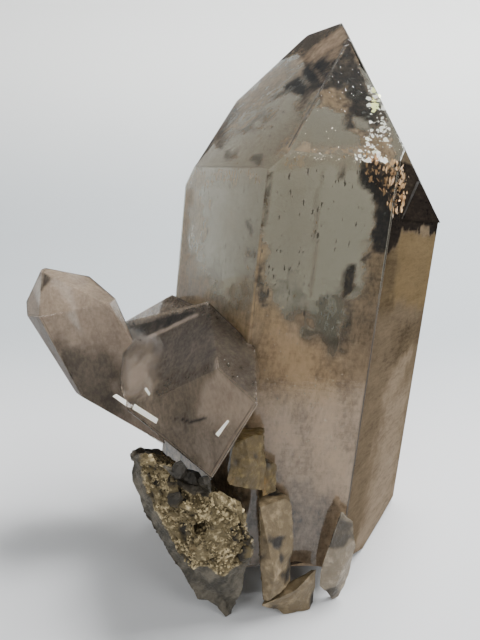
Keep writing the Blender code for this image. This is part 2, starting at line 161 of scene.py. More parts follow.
@dataclass(frozen=True)
class Sight:
    """The photo's camera: its place, its tilt from straight down in degrees, and its frame."""

    place: Triple = (0.6, -232.6, 159.1)
    tilt: float = 74.0
    focal_pixels: float = 620.0
    width_pixels: float = 480.0
    height_pixels: float = 640.0
    sensor_height: float = 36.0

    def on_plane(self, pixel: Flat, normal: Vector, centre: Vector) -> Flat:
        """Where the line of sight through a pixel meets a plane.

        Args:
            pixel: The pixel, from the photo's top left.
            normal: The plane's normal.
            centre: A point of the plane in mm.

        Returns:
            X and Z of the meeting point, to a tenth of a millimetre.
        """
        here = Vector(self.place)
        line = Vector(((pixel[0] - self.width_pixels / 2) / self.focal_pixels,
                       (self.height_pixels / 2 - pixel[1]) / self.focal_pixels, -1.0))
        line = Euler((math.radians(self.tilt), 0.0, 0.0)).to_matrix() @ line
        met = here + line * (normal.dot(centre - here) / normal.dot(line))
        return round(met.x, 1), round(met.z, 1)

    def lay(self, outline: Ring, normal: Vector, centre: Vector) -> Ring:
        """An outline in photo pixels laid on a plane, as X and Z in mm."""
        return tuple(self.on_plane(pixel, normal, centre) for pixel in outline)

    def build(self) -> None:
        """Camera at the photo's place."""
        lens = bpy.data.cameras.new("camera")
        lens.sensor_fit = "VERTICAL"
        lens.sensor_height = self.sensor_height
        lens.lens = self.focal_pixels / self.height_pixels * lens.sensor_height
        lens.clip_start = 0.01
        obj = bpy.data.objects.new("camera", lens)
        obj.location = Vector(self.place) * MM
        obj.rotation_euler = (math.radians(self.tilt), 0.0, 0.0)
        bpy.context.scene.collection.objects.link(obj)
        bpy.context.scene.camera = obj


SIGHT = Sight()


@dataclass
class FlatFace:
    """One flat face of a crystal, read from its solid."""

    normal: Vector
    centre: Vector
    outline: list[Vector]
    area: float

    def point(self, x: float, z: float) -> Vector:
        """The point of the face's plane with this X and Z."""
        n = self.normal
        return Vector((x, (n.dot(self.centre) - n.x * x - n.z * z) / n.y, z))

    def lay(self, outline: Ring) -> Ring:
        """An outline in photo pixels laid on the face, as X and Z in mm."""
        return SIGHT.lay(outline, self.normal, self.centre)


@dataclass(frozen=True)
class Facing:
    """Which crystal face is meant, by its crystal's lean and the way it looks, in degrees."""

    lean: Triple
    azimuth: float
    rise: float

    def find(self, faces: list[FlatFace]) -> FlatFace:
        """The face that looks most nearly this way."""
        return nearest_face(faces, towards(self.lean, self.azimuth, self.rise))


MAIN_FRONT = Facing(MAIN_LEAN, 0, 0)
MAIN_LEFT = Facing(MAIN_LEAN, -60, 0)
MAIN_RIGHT = Facing(MAIN_LEAN, 60, 0)
MAIN_END = Facing(MAIN_LEAN, 0, 38.2)
MAIN_LEFT_END = Facing(MAIN_LEAN, -60, 38.2)
MAIN_RIGHT_END = Facing(MAIN_LEAN, 72, 34)
MIDDLE_FRONT = Facing(MIDDLE_LEAN, 4, 3)
MIDDLE_TOP = Facing(MIDDLE_LEAN, 0, 35)
MIDDLE_RIGHT = Facing(MIDDLE_LEAN, 63, 36)
LEFT_END = Facing(LEFT_LEAN, 5.5, 35.4)
LEFT_FAR_END = Facing(LEFT_LEAN, -51.6, 42.7)
LEFT_RIGHT_END = Facing(LEFT_LEAN, 55.1, 43.5)
LEFT_FRONT = Facing(LEFT_LEAN, -6.4, 0)
LEFT_SIDE = Facing(LEFT_LEAN, 60, 3)


@dataclass(frozen=True)
class Tint:
    """How dense a veil is, how golden, and how dark, from 0 to 1. A shade near 1 darkens it towards black,
    for dark inclusions and as painted shade of the crystal's dark inner reflections; a shade below 0 is
    paler, a painted light.
    """

    cloud: float
    gold: float
    shade: float

    def towards(self, other: "Tint", share: float) -> "Tint":
        """A tint part of the way to another.

        Args:
            other: The tint at the far end.
            share: How far to go, from 0 to 1.

        Returns:
            The tint in between.
        """
        keep = 1.0 - share
        return Tint(self.cloud * keep + other.cloud * share, self.gold * keep + other.gold * share,
                    self.shade * keep + other.shade * share)


@dataclass(frozen=True)
class Patch:
    """Part of a veil with its own tint, inside a ring of X and Z, with a soft and frayed edge."""

    ring: Ring
    soft: float
    fray: float
    tint: Tint

    def share(self, p: Vector, shift: Vector) -> float:
        """How much of the patch's tint a place has.

        Args:
            p: The place in mm.
            shift: Noise from -1 to 1 that frays the edge.

        Returns:
            A number from 0 to 1.
        """
        x, z = p.x + shift.x * self.fray, p.z + shift.z * self.fray
        low, high = extent(self.ring)
        if not (low[0] - self.soft < x < high[0] + self.soft
                and low[1] - self.soft < z < high[1] + self.soft):
            return 0.0
        return ease(-self.soft, self.soft, room_in(self.ring, x, z))


@dataclass(frozen=True)
class Spot:
    """A patch as it was picked in the photo: its edge in mm, its tint, its outline in pixels."""

    label: str
    soft: float
    fray: float
    tint: Tint
    outline: Ring

    def laid(self, face: FlatFace) -> Patch:
        """The patch that it makes on a face."""
        LOG.debug("spot: %s", self.label)
        return Patch(face.lay(self.outline), self.soft, self.fray, self.tint)


@dataclass(frozen=True)
class Cloud:
    """A veil's depth below its face, its tint, and its patches; later ones cover earlier ones."""

    depth: float
    tint: Tint
    patches: tuple[Patch, ...] = ()

    def at(self, p: Vector) -> Tint:
        """Tint at a place.

        Args:
            p: The place in mm.

        Returns:
            The tint of the veil, with all patches that reach the place.
        """
        shift = Vector((fractal(p, 6.0, 4, 1.0), 0.0, fractal(p, 6.0, 4, 5.0)))
        tint = self.tint
        for patch in self.patches:
            share = patch.share(p, shift)
            if share > 0.0:
                tint = tint.towards(patch.tint, share)
        return tint


@dataclass(frozen=True)
class Look:
    """Veil at one crystal face as the photo shows it. A depth below zero is a skin on the face."""

    name: str
    facing: Facing
    depth: float
    tint: Tint
    spots: tuple[Spot, ...] = ()

    def laid(self, face: FlatFace) -> Cloud:
        """The veil with its spots laid on the face."""
        return Cloud(self.depth, self.tint, tuple(spot.laid(face) for spot in self.spots))


class Flake(Enum):
    """Kinds of tiny cracks and grains inside a crystal: two colours, metallic share, alpha, glow. The glow
    is a painted highlight: the bright kinds shine in their own colour without a lamp.
    """

    WHITE = ((1.0, 0.99, 0.93), (0.90, 0.92, 0.80), 0.3, 0.95, 0.65)
    GREENISH = ((0.98, 1.0, 0.45), (0.85, 0.95, 0.50), 0.2, 0.95, 0.7)
    COPPER = ((0.85, 0.55, 0.28), (0.42, 0.26, 0.13), 0.4, 0.85, 0.10)
    GOLD = ((0.95, 0.80, 0.55), (0.80, 0.66, 0.48), 0.5, 0.8, 0.1)
    SOOT = ((0.03, 0.024, 0.018), (0.09, 0.07, 0.05), 0.0, 0.8, 0.0)


@dataclass(frozen=True)
class Scatter:
    """Tiny flakes strewn behind one face, inside an outline in photo pixels.

    They have 4 to 6 corners, lie between two depths, are stretched along the crystal and turned out
    of the face by spread.
    """

    name: str
    facing: Facing
    outline: Ring
    count: int
    sizes: Flat
    depths: Flat
    kind: Flake
    stretch: float
    spread: float
    seed: int

    def build(self, faces: list[FlatFace]) -> bpy.types.Object:
        """Make the piece.

        Args:
            faces: The faces of the crystal that the flakes lie in.

        Returns:
            The piece.
        """
        face = self.facing.find(faces)
        ring = face.lay(self.outline)
        rng = random.Random(self.seed)
        points: list[Vector] = []
        polys: list[list[int]] = []
        low, high = extent(ring)
        axis = towards(self.facing.lean, 0.0, 90.0)
        while len(polys) < self.count:
            x, z = rng.uniform(low[0], high[0]), rng.uniform(low[1], high[1])
            if room_in(ring, x, z) < 0:
                continue
            middle = face.point(x, z) - face.normal * rng.uniform(*self.depths)
            loose = Vector([rng.uniform(-1, 1) for _ in range(3)]) * self.spread
            n = (face.normal + loose).normalized()
            up = (axis - n * axis.dot(n)).normalized()
            side = up.cross(n)
            size = self.sizes[0] + (self.sizes[1] - self.sizes[0]) * rng.random() ** 2.5
            count = rng.randint(4, 6)
            start = len(points)
            for k in range(count):
                a = 2 * math.pi * k / count + rng.uniform(-0.4, 0.4)
                r = size * rng.uniform(0.45, 1.0)
                points.append(middle + side * (r * math.cos(a)) + up * (r * math.sin(a) * self.stretch))
            polys.append(list(range(start, start + count)))
        return settle(add_mesh(self.name, points, polys), FlakeFinish(self.kind).material(), Slot.CLEAR)


@dataclass(frozen=True)
class Glint:
    """Flat crack just behind one face, by its outline in photo pixels, bright from a painted glint: it
    glows in the white flakes' finish.
    """

    name: str
    facing: Facing
    outline: Ring

    def build(self, faces: list[FlatFace]) -> bpy.types.Object:
        """Make the piece.

        Args:
            faces: The faces of the crystal that the crack lies in.

        Returns:
            The piece.
        """
        face = self.facing.find(faces)
        points = [face.point(x, z) - face.normal * GLINT_DEPTH for x, z in face.lay(self.outline)]
        return settle(add_mesh(self.name, points, [list(range(len(points)))]),
                      FlakeFinish(Flake.WHITE).material(), Slot.BROWN)


# What the photo shows in each face of the main crystal; its black fields are painted shade, the dark inner
# reflections of the faces laid into the veils as black patches
MAIN_LOOKS = (
    Look("front", MAIN_FRONT, 1.3, Tint(0.1, 0.2, 0.3), (
        Spot("pale haze of the lower half", 5, 6, Tint(0.93, 0.35, 0.12), ((250, 295), (268, 306),
            (282, 318), (300, 318), (306, 330), (322, 345), (330, 362), (345, 368), (350, 345),
            (352, 312), (362, 305), (390, 300), (400, 310), (385, 420), (365, 600), (240, 600))),
        Spot("golden haze in the middle", 6, 4, Tint(0.96, 0.75, 0.04), ((252, 330), (300, 335),
            (345, 372), (345, 400), (300, 412), (252, 412))),
        Spot("pale haze below the middle", 6, 4, Tint(0.95, 0.15, 0.12), ((252, 415), (380, 415),
            (372, 455), (252, 455))),
        Spot("pink patch above the foot", 4, 3, Tint(0.95, 0.15, 0.22), ((268, 452), (300, 449),
            (336, 468), (338, 500), (270, 505))),
        Spot("pale patch at the lower right", 4, 3, Tint(0.9, 0.15, 0.12), ((335, 440), (385, 430),
            (372, 520), (345, 500))),
        Spot("shaded patch at the foot", 3, 3, Tint(0.97, 0.1, 0.55), ((276, 505), (296, 480), (338, 500),
            (335, 530), (318, 568), (300, 565), (280, 545))),
        Spot("golden strip at the left edge", 2, 3, Tint(0.8, 0.85, 0.08), ((250, 240), (262, 232),
            (268, 262), (275, 300), (288, 330), (262, 335), (250, 320))),
        # Partly painted shade: the lower end of the dark inner reflection, fading into brown haze
        Spot("brown patch at the right edge", 2.5, 3, Tint(0.96, 0.85, 0.55), ((367, 240), (405, 232),
            (402, 262), (392, 305), (362, 312), (361, 298), (366, 262))),
        # Painted shade: the dark inner reflection at the upper right, laid in as a black patch
        Spot("dark field at the upper right", 0.8, 2.4, Tint(0.97, 0.3, 0.98), ((357, 155), (372, 157),
            (402, 170), (410, 215), (400, 244), (382, 256), (372, 250), (371, 237), (376, 212),
            (373, 196), (363, 184))),
        Spot("long thin crack", 0.4, 0.6, Tint(0.55, 0.4, 0.62), ((321, 170), (323, 170), (319, 200),
            (317, 240), (312, 300), (310, 300), (314, 240), (316, 200))),
        Spot("thin haze of the clear zone", 8, 3, Tint(0.22, 0.4, 0.5), ((276, 176), (316, 176),
            (312, 236), (300, 290), (272, 280))),
        # Painted shade: the lower tip of that dark inner reflection
        Spot("tip of the dark field", 0.6, 1.0, Tint(0.9, 0.2, 0.9), ((372, 250), (364, 258), (360, 264),
            (366, 262), (372, 256))),
        Spot("dark streak above the haze", 0.6, 1.2, Tint(0.92, 0.3, 0.9), ((346, 265), (356, 266),
            (354, 285), (345, 302), (342, 300), (344, 282))),
        Spot("dark streak in the haze", 1.2, 3, Tint(0.75, 0.3, 0.7), ((345, 300), (358, 302), (352, 325),
            (346, 352), (340, 358), (342, 335))),
        Spot("short tick at the top", 0.4, 0.6, Tint(0.85, 0.3, 0.85), ((342, 152), (347, 152),
            (344, 178), (340, 180))),
        Spot("dark streak at the left edge", 1.0, 3, Tint(0.75, 0.4, 0.8), ((259, 262), (265, 266),
            (267, 285), (270, 306), (265, 308), (258, 290))),
        Spot("long line at the left edge", 0.4, 1.2, Tint(0.8, 0.4, 0.8), ((268, 172), (272, 170),
            (268, 205), (265, 226), (262, 226), (264, 205))),
        Spot("brown haze at the right", 3, 3, Tint(0.95, 0.55, 0.42), ((358, 306), (400, 300), (395, 372),
            (348, 388), (344, 372), (350, 350), (352, 325))),
        Spot("brown haze at the lower right", 7, 3, Tint(0.95, 0.4, 0.33), ((364, 380), (396, 372),
            (386, 470), (366, 530), (360, 450))),
        Spot("pale ridge across the right", 3, 3, Tint(0.97, 0.2, 0.02), ((343, 418), (368, 396),
            (405, 352), (408, 366), (380, 405), (350, 425))),
        Spot("haze under the top edge", 2, 2, Tint(0.35, 0.6, 0.35), ((290, 152), (362, 158), (362, 168),
            (276, 168))),
    )),
    Look("front_left", MAIN_LEFT, 1.3, Tint(0.26, 0.35, 0.5), (
        Spot("haze under the shoulder", 3.0, 2.5, Tint(0.45, 0.2, 0.2), ((181, 172), (271, 172),
            (270, 182), (181, 184))),
        Spot("golden left edge", 2, 2, Tint(0.9, 0.9, 0.08), ((170, 190), (188, 190), (186, 300),
            (170, 300))),
        Spot("golden haze of the lower half", 8, 5, Tint(0.9, 0.7, 0.04), ((178, 186), (191, 186),
            (192, 240), (196, 265), (208, 285), (222, 305), (250, 322), (256, 360), (256, 600),
            (150, 600), (172, 300))),
        Spot("shaded haze at the foot", 5, 4, Tint(0.96, 0.5, 0.62), ((150, 430), (262, 430), (262, 600),
            (150, 600))),
        Spot("golden wisp at the top", 2, 3, Tint(0.5, 0.7, 0.1), ((192, 196), (206, 200), (200, 240),
            (196, 250), (190, 240))),
        Spot("golden haze at the right edge", 4, 4, Tint(0.95, 0.75, 0.05), ((225, 330), (262, 310),
            (262, 470), (225, 470))),
        Spot("small dark speck", 0.6, 1.5, Tint(0.7, 0.3, 0.9), ((243, 222), (246, 221), (252, 232),
            (249, 236))),
        Spot("larger dark speck below it", 0.8, 2.5, Tint(0.7, 0.3, 0.8), ((243, 248), (251, 246),
            (256, 256), (246, 262))),
        Spot("dark streak at the right edge", 1.2, 3, Tint(0.7, 0.5, 0.7), ((253, 270), (262, 262),
            (262, 312), (256, 300))),
    )),
    Look("left_end", MAIN_LEFT_END, 1.3, Tint(0.28, 0.3, 0.5), (
        Spot("haze along the upper edge", 5, 4, Tint(0.72, 0.35, 0.36), ((224, 112), (300, 46), (316, 62),
            (298, 76), (264, 106), (230, 130))),
        # Painted shade: the dark inner reflection of the left end, laid in as a black patch with its tail
        Spot("black field", 0.8, 1.6, Tint(0.96, 0.0, 0.97), ((284, 86), (300, 72), (310, 60), (334, 55),
            (326, 74), (318, 88), (303, 99), (293, 93))),
        Spot("tail of the black field", 1.5, 2, Tint(0.85, 0.1, 0.8), ((318, 86), (311, 100), (300, 116),
            (294, 106), (303, 94))),
        Spot("dark wisp to its left", 0.6, 1.5, Tint(0.8, 0.1, 0.8), ((266, 100), (280, 92), (292, 84),
            (290, 90), (276, 98))),
        Spot("dark band at the left corner", 2, 1.5, Tint(0.7, 0.1, 0.8), ((215, 140), (215, 128),
            (232, 104), (240, 104), (230, 122), (226, 140))),
        # Painted light: the haze near the apex is paled where little light reaches it
        Spot("pale strip at the apex", 3, 2, Tint(0.9, 0.1, -0.3), ((296, 62), (342, 24), (346, 30),
            (334, 54), (312, 60))),
        Spot("brown band along the right edge", 2.5, 2, Tint(0.6, 0.1, 0.55), ((303, 110), (318, 88),
            (322, 92), (284, 150), (276, 150))),
        Spot("speck at the lower left", 0.8, 2, Tint(0.7, 0.3, 0.8), ((224, 150), (238, 148), (238, 157),
            (226, 158))),
        Spot("speck beside it", 0.7, 1.5, Tint(0.7, 0.3, 0.85), ((250, 155), (258, 154), (259, 164),
            (252, 162))),
        Spot("faint streak", 1.0, 3, Tint(0.6, 0.3, 0.7), ((240, 130), (265, 110), (272, 112),
            (250, 134))),
        Spot("first cross line", 0.4, 0.4, Tint(0.7, 0.1, 0.5), ((296, 72), (299, 70), (310, 84),
            (307, 87))),
        Spot("second cross line", 0.4, 0.4, Tint(0.7, 0.1, 0.5), ((309, 66), (312, 64), (324, 78),
            (321, 81))),
        Spot("dark line at the left corner", 0.8, 0.8, Tint(0.8, 0.1, 0.75), ((214, 148), (216, 126),
            (222, 118), (222, 148))),
    )),
    Look("front_end", MAIN_END, 1.3, Tint(0.18, 0.3, 0.5), (
        # Painted shade: the dark inner reflection below the apex, laid in as a black patch
        Spot("black field below the apex", 0.9, 2.2, Tint(0.94, 0.2, 0.93), ((341, 28), (345, 28),
            (372, 92), (384, 116), (372, 124), (358, 114), (350, 112), (349, 126), (345, 126), (345, 108),
            (322, 105), (316, 96), (327, 72))),
        Spot("golden patch in the black", 1.2, 3.5, Tint(0.9, 0.7, 0.5), ((318, 90), (346, 88),
            (349, 106), (322, 107))),
        Spot("thin dark hook", 0.5, 1.2, Tint(0.9, 0.2, 0.95), ((349, 112), (353, 112), (356, 126),
            (372, 130), (372, 133), (350, 128))),
        Spot("faint dark line", 0.5, 1.0, Tint(0.6, 0.2, 0.45), ((352, 40), (362, 64), (360, 66),
            (350, 44))),
        Spot("brown haze at the lower right", 1.5, 2.5, Tint(0.9, 0.6, 0.6), ((352, 128), (372, 130),
            (392, 130), (392, 160), (362, 157))),
        # Painted shade: more of that dark inner reflection, under the sparkles
        Spot("dark strip under the sparkles", 1.2, 2, Tint(0.9, 0.0, 0.85), ((372, 92), (382, 95),
            (388, 130), (374, 130))),
        Spot("haze above the lower edge", 1.5, 2.5, Tint(0.45, 0.2, 0.2), ((300, 140), (372, 150),
            (372, 158), (291, 152))),
    )),
    Look("front_right", MAIN_RIGHT, -0.12, Tint(0.95, 0.5, 0.4), (
        Spot("golden window", 3, 2, Tint(0.97, 1.0, 0.1), ((385, 225), (442, 228), (432, 292), (425, 310),
            (385, 300))),
        Spot("pale lower part", 6, 4, Tint(0.93, 0.1, 0.1), ((385, 400), (410, 380), (385, 540),
            (360, 540))),
        Spot("plain strip at the foot", 4, 4, Tint(0.9, 0.0, 0.0), ((355, 545), (380, 470), (396, 440),
            (385, 560))),
        Spot("brown left part of the window", 3, 3, Tint(0.97, 0.9, 0.5), ((380, 238), (396, 236),
            (398, 262), (390, 312), (370, 312))),
        # Painted shade: the dark inner reflection over this face, laid in as a black patch
        Spot("black upper field", 0.8, 2.0, Tint(0.97, 0.3, 0.97), ((386, 150), (420, 170), (404, 222),
            (398, 240), (392, 250), (380, 250), (384, 220))),
        # Painted shade: black bar under the upper edge, where the face looks dark
        Spot("black bar above the window", 0.7, 1.8, Tint(0.97, 0.3, 0.95), ((388, 214), (402, 217),
            (443, 222), (439, 233), (426, 236), (408, 231), (392, 234))),
        Spot("nick in the bar", 0.6, 1.5, Tint(0.9, 0.6, 0.15), ((420, 222), (430, 221), (428, 236),
            (420, 234))),
        # Painted shade: black corner, where the face looks dark from its inner reflection
        Spot("black right corner", 0.5, 1.0, Tint(0.97, 0.3, 0.93), ((404, 160), (425, 175), (450, 228),
            (398, 224))),
        Spot("brown patch below the window", 4, 3, Tint(0.95, 0.7, 0.55), ((395, 330), (425, 318),
            (420, 345), (395, 360))),
        Spot("pale wedge at the left edge", 3, 3, Tint(0.95, 0.2, 0.05), ((385, 385), (412, 345),
            (410, 360), (388, 408))),
    )),
    # Painted shade: the right end looks dark from its inner reflection, laid on as a dark skin
    Look("right_end", MAIN_RIGHT_END, -0.12, Tint(0.93, 0.3, 0.92), (
        Spot("paler left corner", 2.0, 3, Tint(0.9, 0.8, 0.55), ((372, 130), (405, 140), (410, 165),
            (374, 160))),
    )),
)

# What it shows in the faces of the middle and left crystals
SIDE_LOOKS = (
    Look("middle_front", MIDDLE_FRONT, 0.9, Tint(0.76, 0.55, 0.52), (
        Spot("haze of the upper right", 1.2, 0.8, Tint(0.9, 0.3, 0.25), ((216, 368), (256, 404),
            (250, 425), (215, 432), (196, 415), (204, 385))),
        Spot("shaded lower half", 4, 3, Tint(0.9, 0.3, 0.5), ((214, 478), (136, 412), (190, 428),
            (245, 426))),
        Spot("dark crack line", 0.35, 0.6, Tint(0.95, 0.2, 0.95), ((168, 416), (190, 420), (204, 416),
            (211, 425), (204, 419), (190, 423))),
    )),
    Look("middle_top", MIDDLE_TOP, 0.9, Tint(0.6, 0.55, 0.62), (
        Spot("dark strip along the back edge", 0.5, 0.3, Tint(0.95, 0.4, 0.85), ((127, 327), (187, 310),
            (197, 313), (148, 336))),
        Spot("shaded middle", 3, 3, Tint(0.93, 0.0, 0.68), ((150, 340), (195, 318), (216, 325),
            (222, 342), (216, 362), (190, 375), (160, 370))),
        # Painted highlight: a bright line along the edge of the middle crystal
        Spot("bright ridge along it", 0.3, 0.2, Tint(0.95, 0.0, -0.2), ((147, 336), (197, 313),
            (198, 315), (149, 338))),
        Spot("pale right edge", 0.5, 0.6, Tint(0.9, 0.0, 0.1), ((214, 324), (219, 330), (223, 344),
            (217, 366), (214, 366), (219, 345), (215, 331))),
        Spot("pale left corner", 3, 2, Tint(0.9, 0.2, 0.25), ((125, 360), (150, 350), (152, 392),
            (122, 396))),
    )),
    Look("middle_right", MIDDLE_RIGHT, 0.9, Tint(0.75, 0.5, 0.66)),
    Look("left_end", LEFT_END, 0.9, Tint(0.72, 0.2, 0.0), (
        Spot("dark left corner", 1.0, 0.5, Tint(0.93, 0.5, 0.8), ((43, 268), (39, 292), (53, 278))),
        Spot("pale lower strip", 3, 3, Tint(0.85, 0.2, 0.2), ((36, 318), (110, 325), (110, 345),
            (40, 345))),
    )),
    Look("left_far_end", LEFT_FAR_END, 0.9, Tint(0.6, 0.1, 0.05)),
    Look("left_right_end", LEFT_RIGHT_END, 0.9, Tint(0.8, 0.3, 0.05)),
    # Painted light: this face's veil is paled by a shade below 0
    Look("left_front", LEFT_FRONT, 0.9, Tint(0.74, 0.1, -0.1), (
        Spot("shaded left part", 2, 2, Tint(0.93, 0.0, 0.45), ((50, 340), (80, 345), (100, 395),
            (75, 395))),
        Spot("pale streak", 1, 1, Tint(0.93, 0.0, 0.15), ((84, 352), (90, 352), (113, 396), (100, 396))),
        Spot("brown lower part", 6, 4, Tint(0.9, 0.35, 0.66), ((50, 335), (118, 350), (130, 430),
            (60, 410))),
        Spot("dark nick", 0.8, 0.8, Tint(0.95, 0.2, 0.95), ((64, 373), (70, 372), (70, 380), (66, 381))),
    )),
    Look("left_side", LEFT_SIDE, 0.9, Tint(0.7, 0.25, 0.2), (
        # Painted highlight: the glint of the seam where the left and middle crystals meet
        Spot("bright left edge", 0.8, 0.5, Tint(0.93, 0.1, -0.1), ((113, 330), (119, 330), (119, 396),
            (113, 396))),
    )),
)

# The crust of the rock and the pit in it, whose darkness is painted shade
CRUST_OUTLINE = ((131, 462), (136, 455), (148, 452), (158, 470), (176, 482), (186, 500), (197, 498),
    (212, 492), (222, 470), (240, 462), (256, 476), (259, 492), (258, 520), (254, 545), (247, 560),
    (240, 572), (225, 578), (205, 570), (190, 578), (176, 560), (160, 530), (140, 495))
CAVITY_OUTLINE = ((162, 456), (182, 452), (204, 458), (213, 474), (206, 492), (188, 494), (172, 478))

# Flakes strewn in the main crystal; the sparkles, gold flecks and edge glints glow as painted highlights
SCATTERS = (
    Scatter("white_sparkles", MAIN_END, ((366, 84), (375, 84), (386, 112), (392, 140), (386, 160),
        (352, 160), (354, 149), (366, 141), (370, 122)), 230, (0.25, 1.5), (0.2, 2.0), Flake.WHITE, 1.0,
        0.6, 3),
    Scatter("pale_green_sparkles", MAIN_END, ((369, 88), (377, 88), (382, 106), (374, 110)), 30,
        (0.4, 1.4), (0.2, 1.2), Flake.GREENISH, 1.2, 0.3, 7),
    Scatter("copper_sparkles", MAIN_FRONT, ((364, 152), (384, 156), (404, 166), (408, 190), (402, 214),
        (386, 196), (366, 176)), 230, (0.15, 1.0), (0.3, 2.0), Flake.COPPER, 1.8, 0.9, 4),
    Scatter("right_sparkles", MAIN_RIGHT, ((386, 160), (410, 172), (404, 200), (396, 226), (386, 210)),
        120, (0.2, 1.1), (-0.16, -0.2), Flake.COPPER, 2.0, 0.5, 5),
    Scatter("front_pits", MAIN_FRONT, ((276, 170), (362, 170), (366, 240), (345, 260), (340, 330),
        (268, 300), (266, 235)), 150, (0.1, 0.5), (0.15, 0.6), Flake.SOOT, 3.6, 0.15, 8),
    Scatter("left_pits", MAIN_LEFT, ((196, 180), (266, 184), (262, 300), (205, 270)), 90, (0.1, 0.5),
        (0.15, 0.6), Flake.SOOT, 3.0, 0.15, 9),
    Scatter("end_pits", MAIN_LEFT_END, ((232, 150), (250, 110), (300, 90), (290, 130), (270, 155)), 60,
        (0.12, 0.6), (0.2, 1.0), Flake.SOOT, 1.6, 0.3, 10),
    Scatter("gold_flecks", MAIN_FRONT, ((254, 240), (276, 300), (345, 350), (350, 470), (265, 470),
        (254, 330)), 150, (0.1, 0.45), (0.2, 1.2), Flake.GOLD, 1.3, 0.6, 11),
    Scatter("left_gold_flecks", MAIN_LEFT, ((182, 190), (192, 190), (200, 265), (240, 310), (250, 330),
        (182, 300)), 80, (0.1, 0.45), (0.2, 1.0), Flake.GOLD, 1.3, 0.6, 12),
    Scatter("edge_glints", MAIN_FRONT, ((290, 151), (368, 156), (366, 162), (280, 158)), 50, (0.1, 0.4),
        (0.1, 0.5), Flake.WHITE, 1.0, 0.6, 13),
)

# Cracks in the side crystals, bright from painted glints that glow white
GLINTS = (
    Glint("ledge_glint", LEFT_SIDE, ((113, 396), (117, 393.5), (132, 403), (130, 408))),
    Glint("long_glint", MIDDLE_FRONT, ((132, 409), (134, 404), (158, 419), (156, 424))),
    Glint("short_glint", MIDDLE_FRONT, ((215, 434), (227, 420), (229, 421), (218, 437))),
    Glint("small_glint", MIDDLE_TOP, ((144, 389), (146, 387), (150, 393), (149, 396))),
)


class Wire:
    """A shader value that can be calculated with."""

    def __init__(self, web: "Web", socket: bpy.types.NodeSocket) -> None:
        """Keep the socket and the web that it belongs to."""
        self.web = web
        self.socket = socket

    def __add__(self, other: Number) -> "Wire":
        """Sum with another value."""
        return self.web.maths("ADD", self, other)

    __radd__ = __add__

    def __mul__(self, other: Number) -> "Wire":
        """Product with another value."""
        return self.web.maths("MULTIPLY", self, other)

    __rmul__ = __mul__

    def __sub__(self, other: Number) -> "Wire":
        """This value less another."""
        return self.web.maths("SUBTRACT", self, other)

    def __rsub__(self, other: Number) -> "Wire":
        """Another value less this one."""
        return self.web.maths("SUBTRACT", other, self)

    def most(self, other: Number) -> "Wire":
        """The larger of the two values."""
        return self.web.maths("MAXIMUM", self, other)

    def least(self, other: Number) -> "Wire":
        """The smaller of the two values."""
        return self.web.maths("MINIMUM", self, other)

    def ease(self, low: float, high: float) -> "Wire":
        """Smooth step from 0 at low to 1 at high.

        Args:
            low: Value at which the result leaves 0.
            high: Value at which it reaches 1; it may be lower than low.

        Returns:
            A wire from 0 to 1.
        """
        start, end = (1.0, 0.0) if low > high else (0.0, 1.0)
        node = self.web.node("ShaderNodeMapRange", {
            "Value": self, "From Min": min(low, high), "From Max": max(low, high),
            "To Min": start, "To Max": end}, interpolation_type="SMOOTHSTEP")
        return Wire(self.web, node.outputs["Result"])


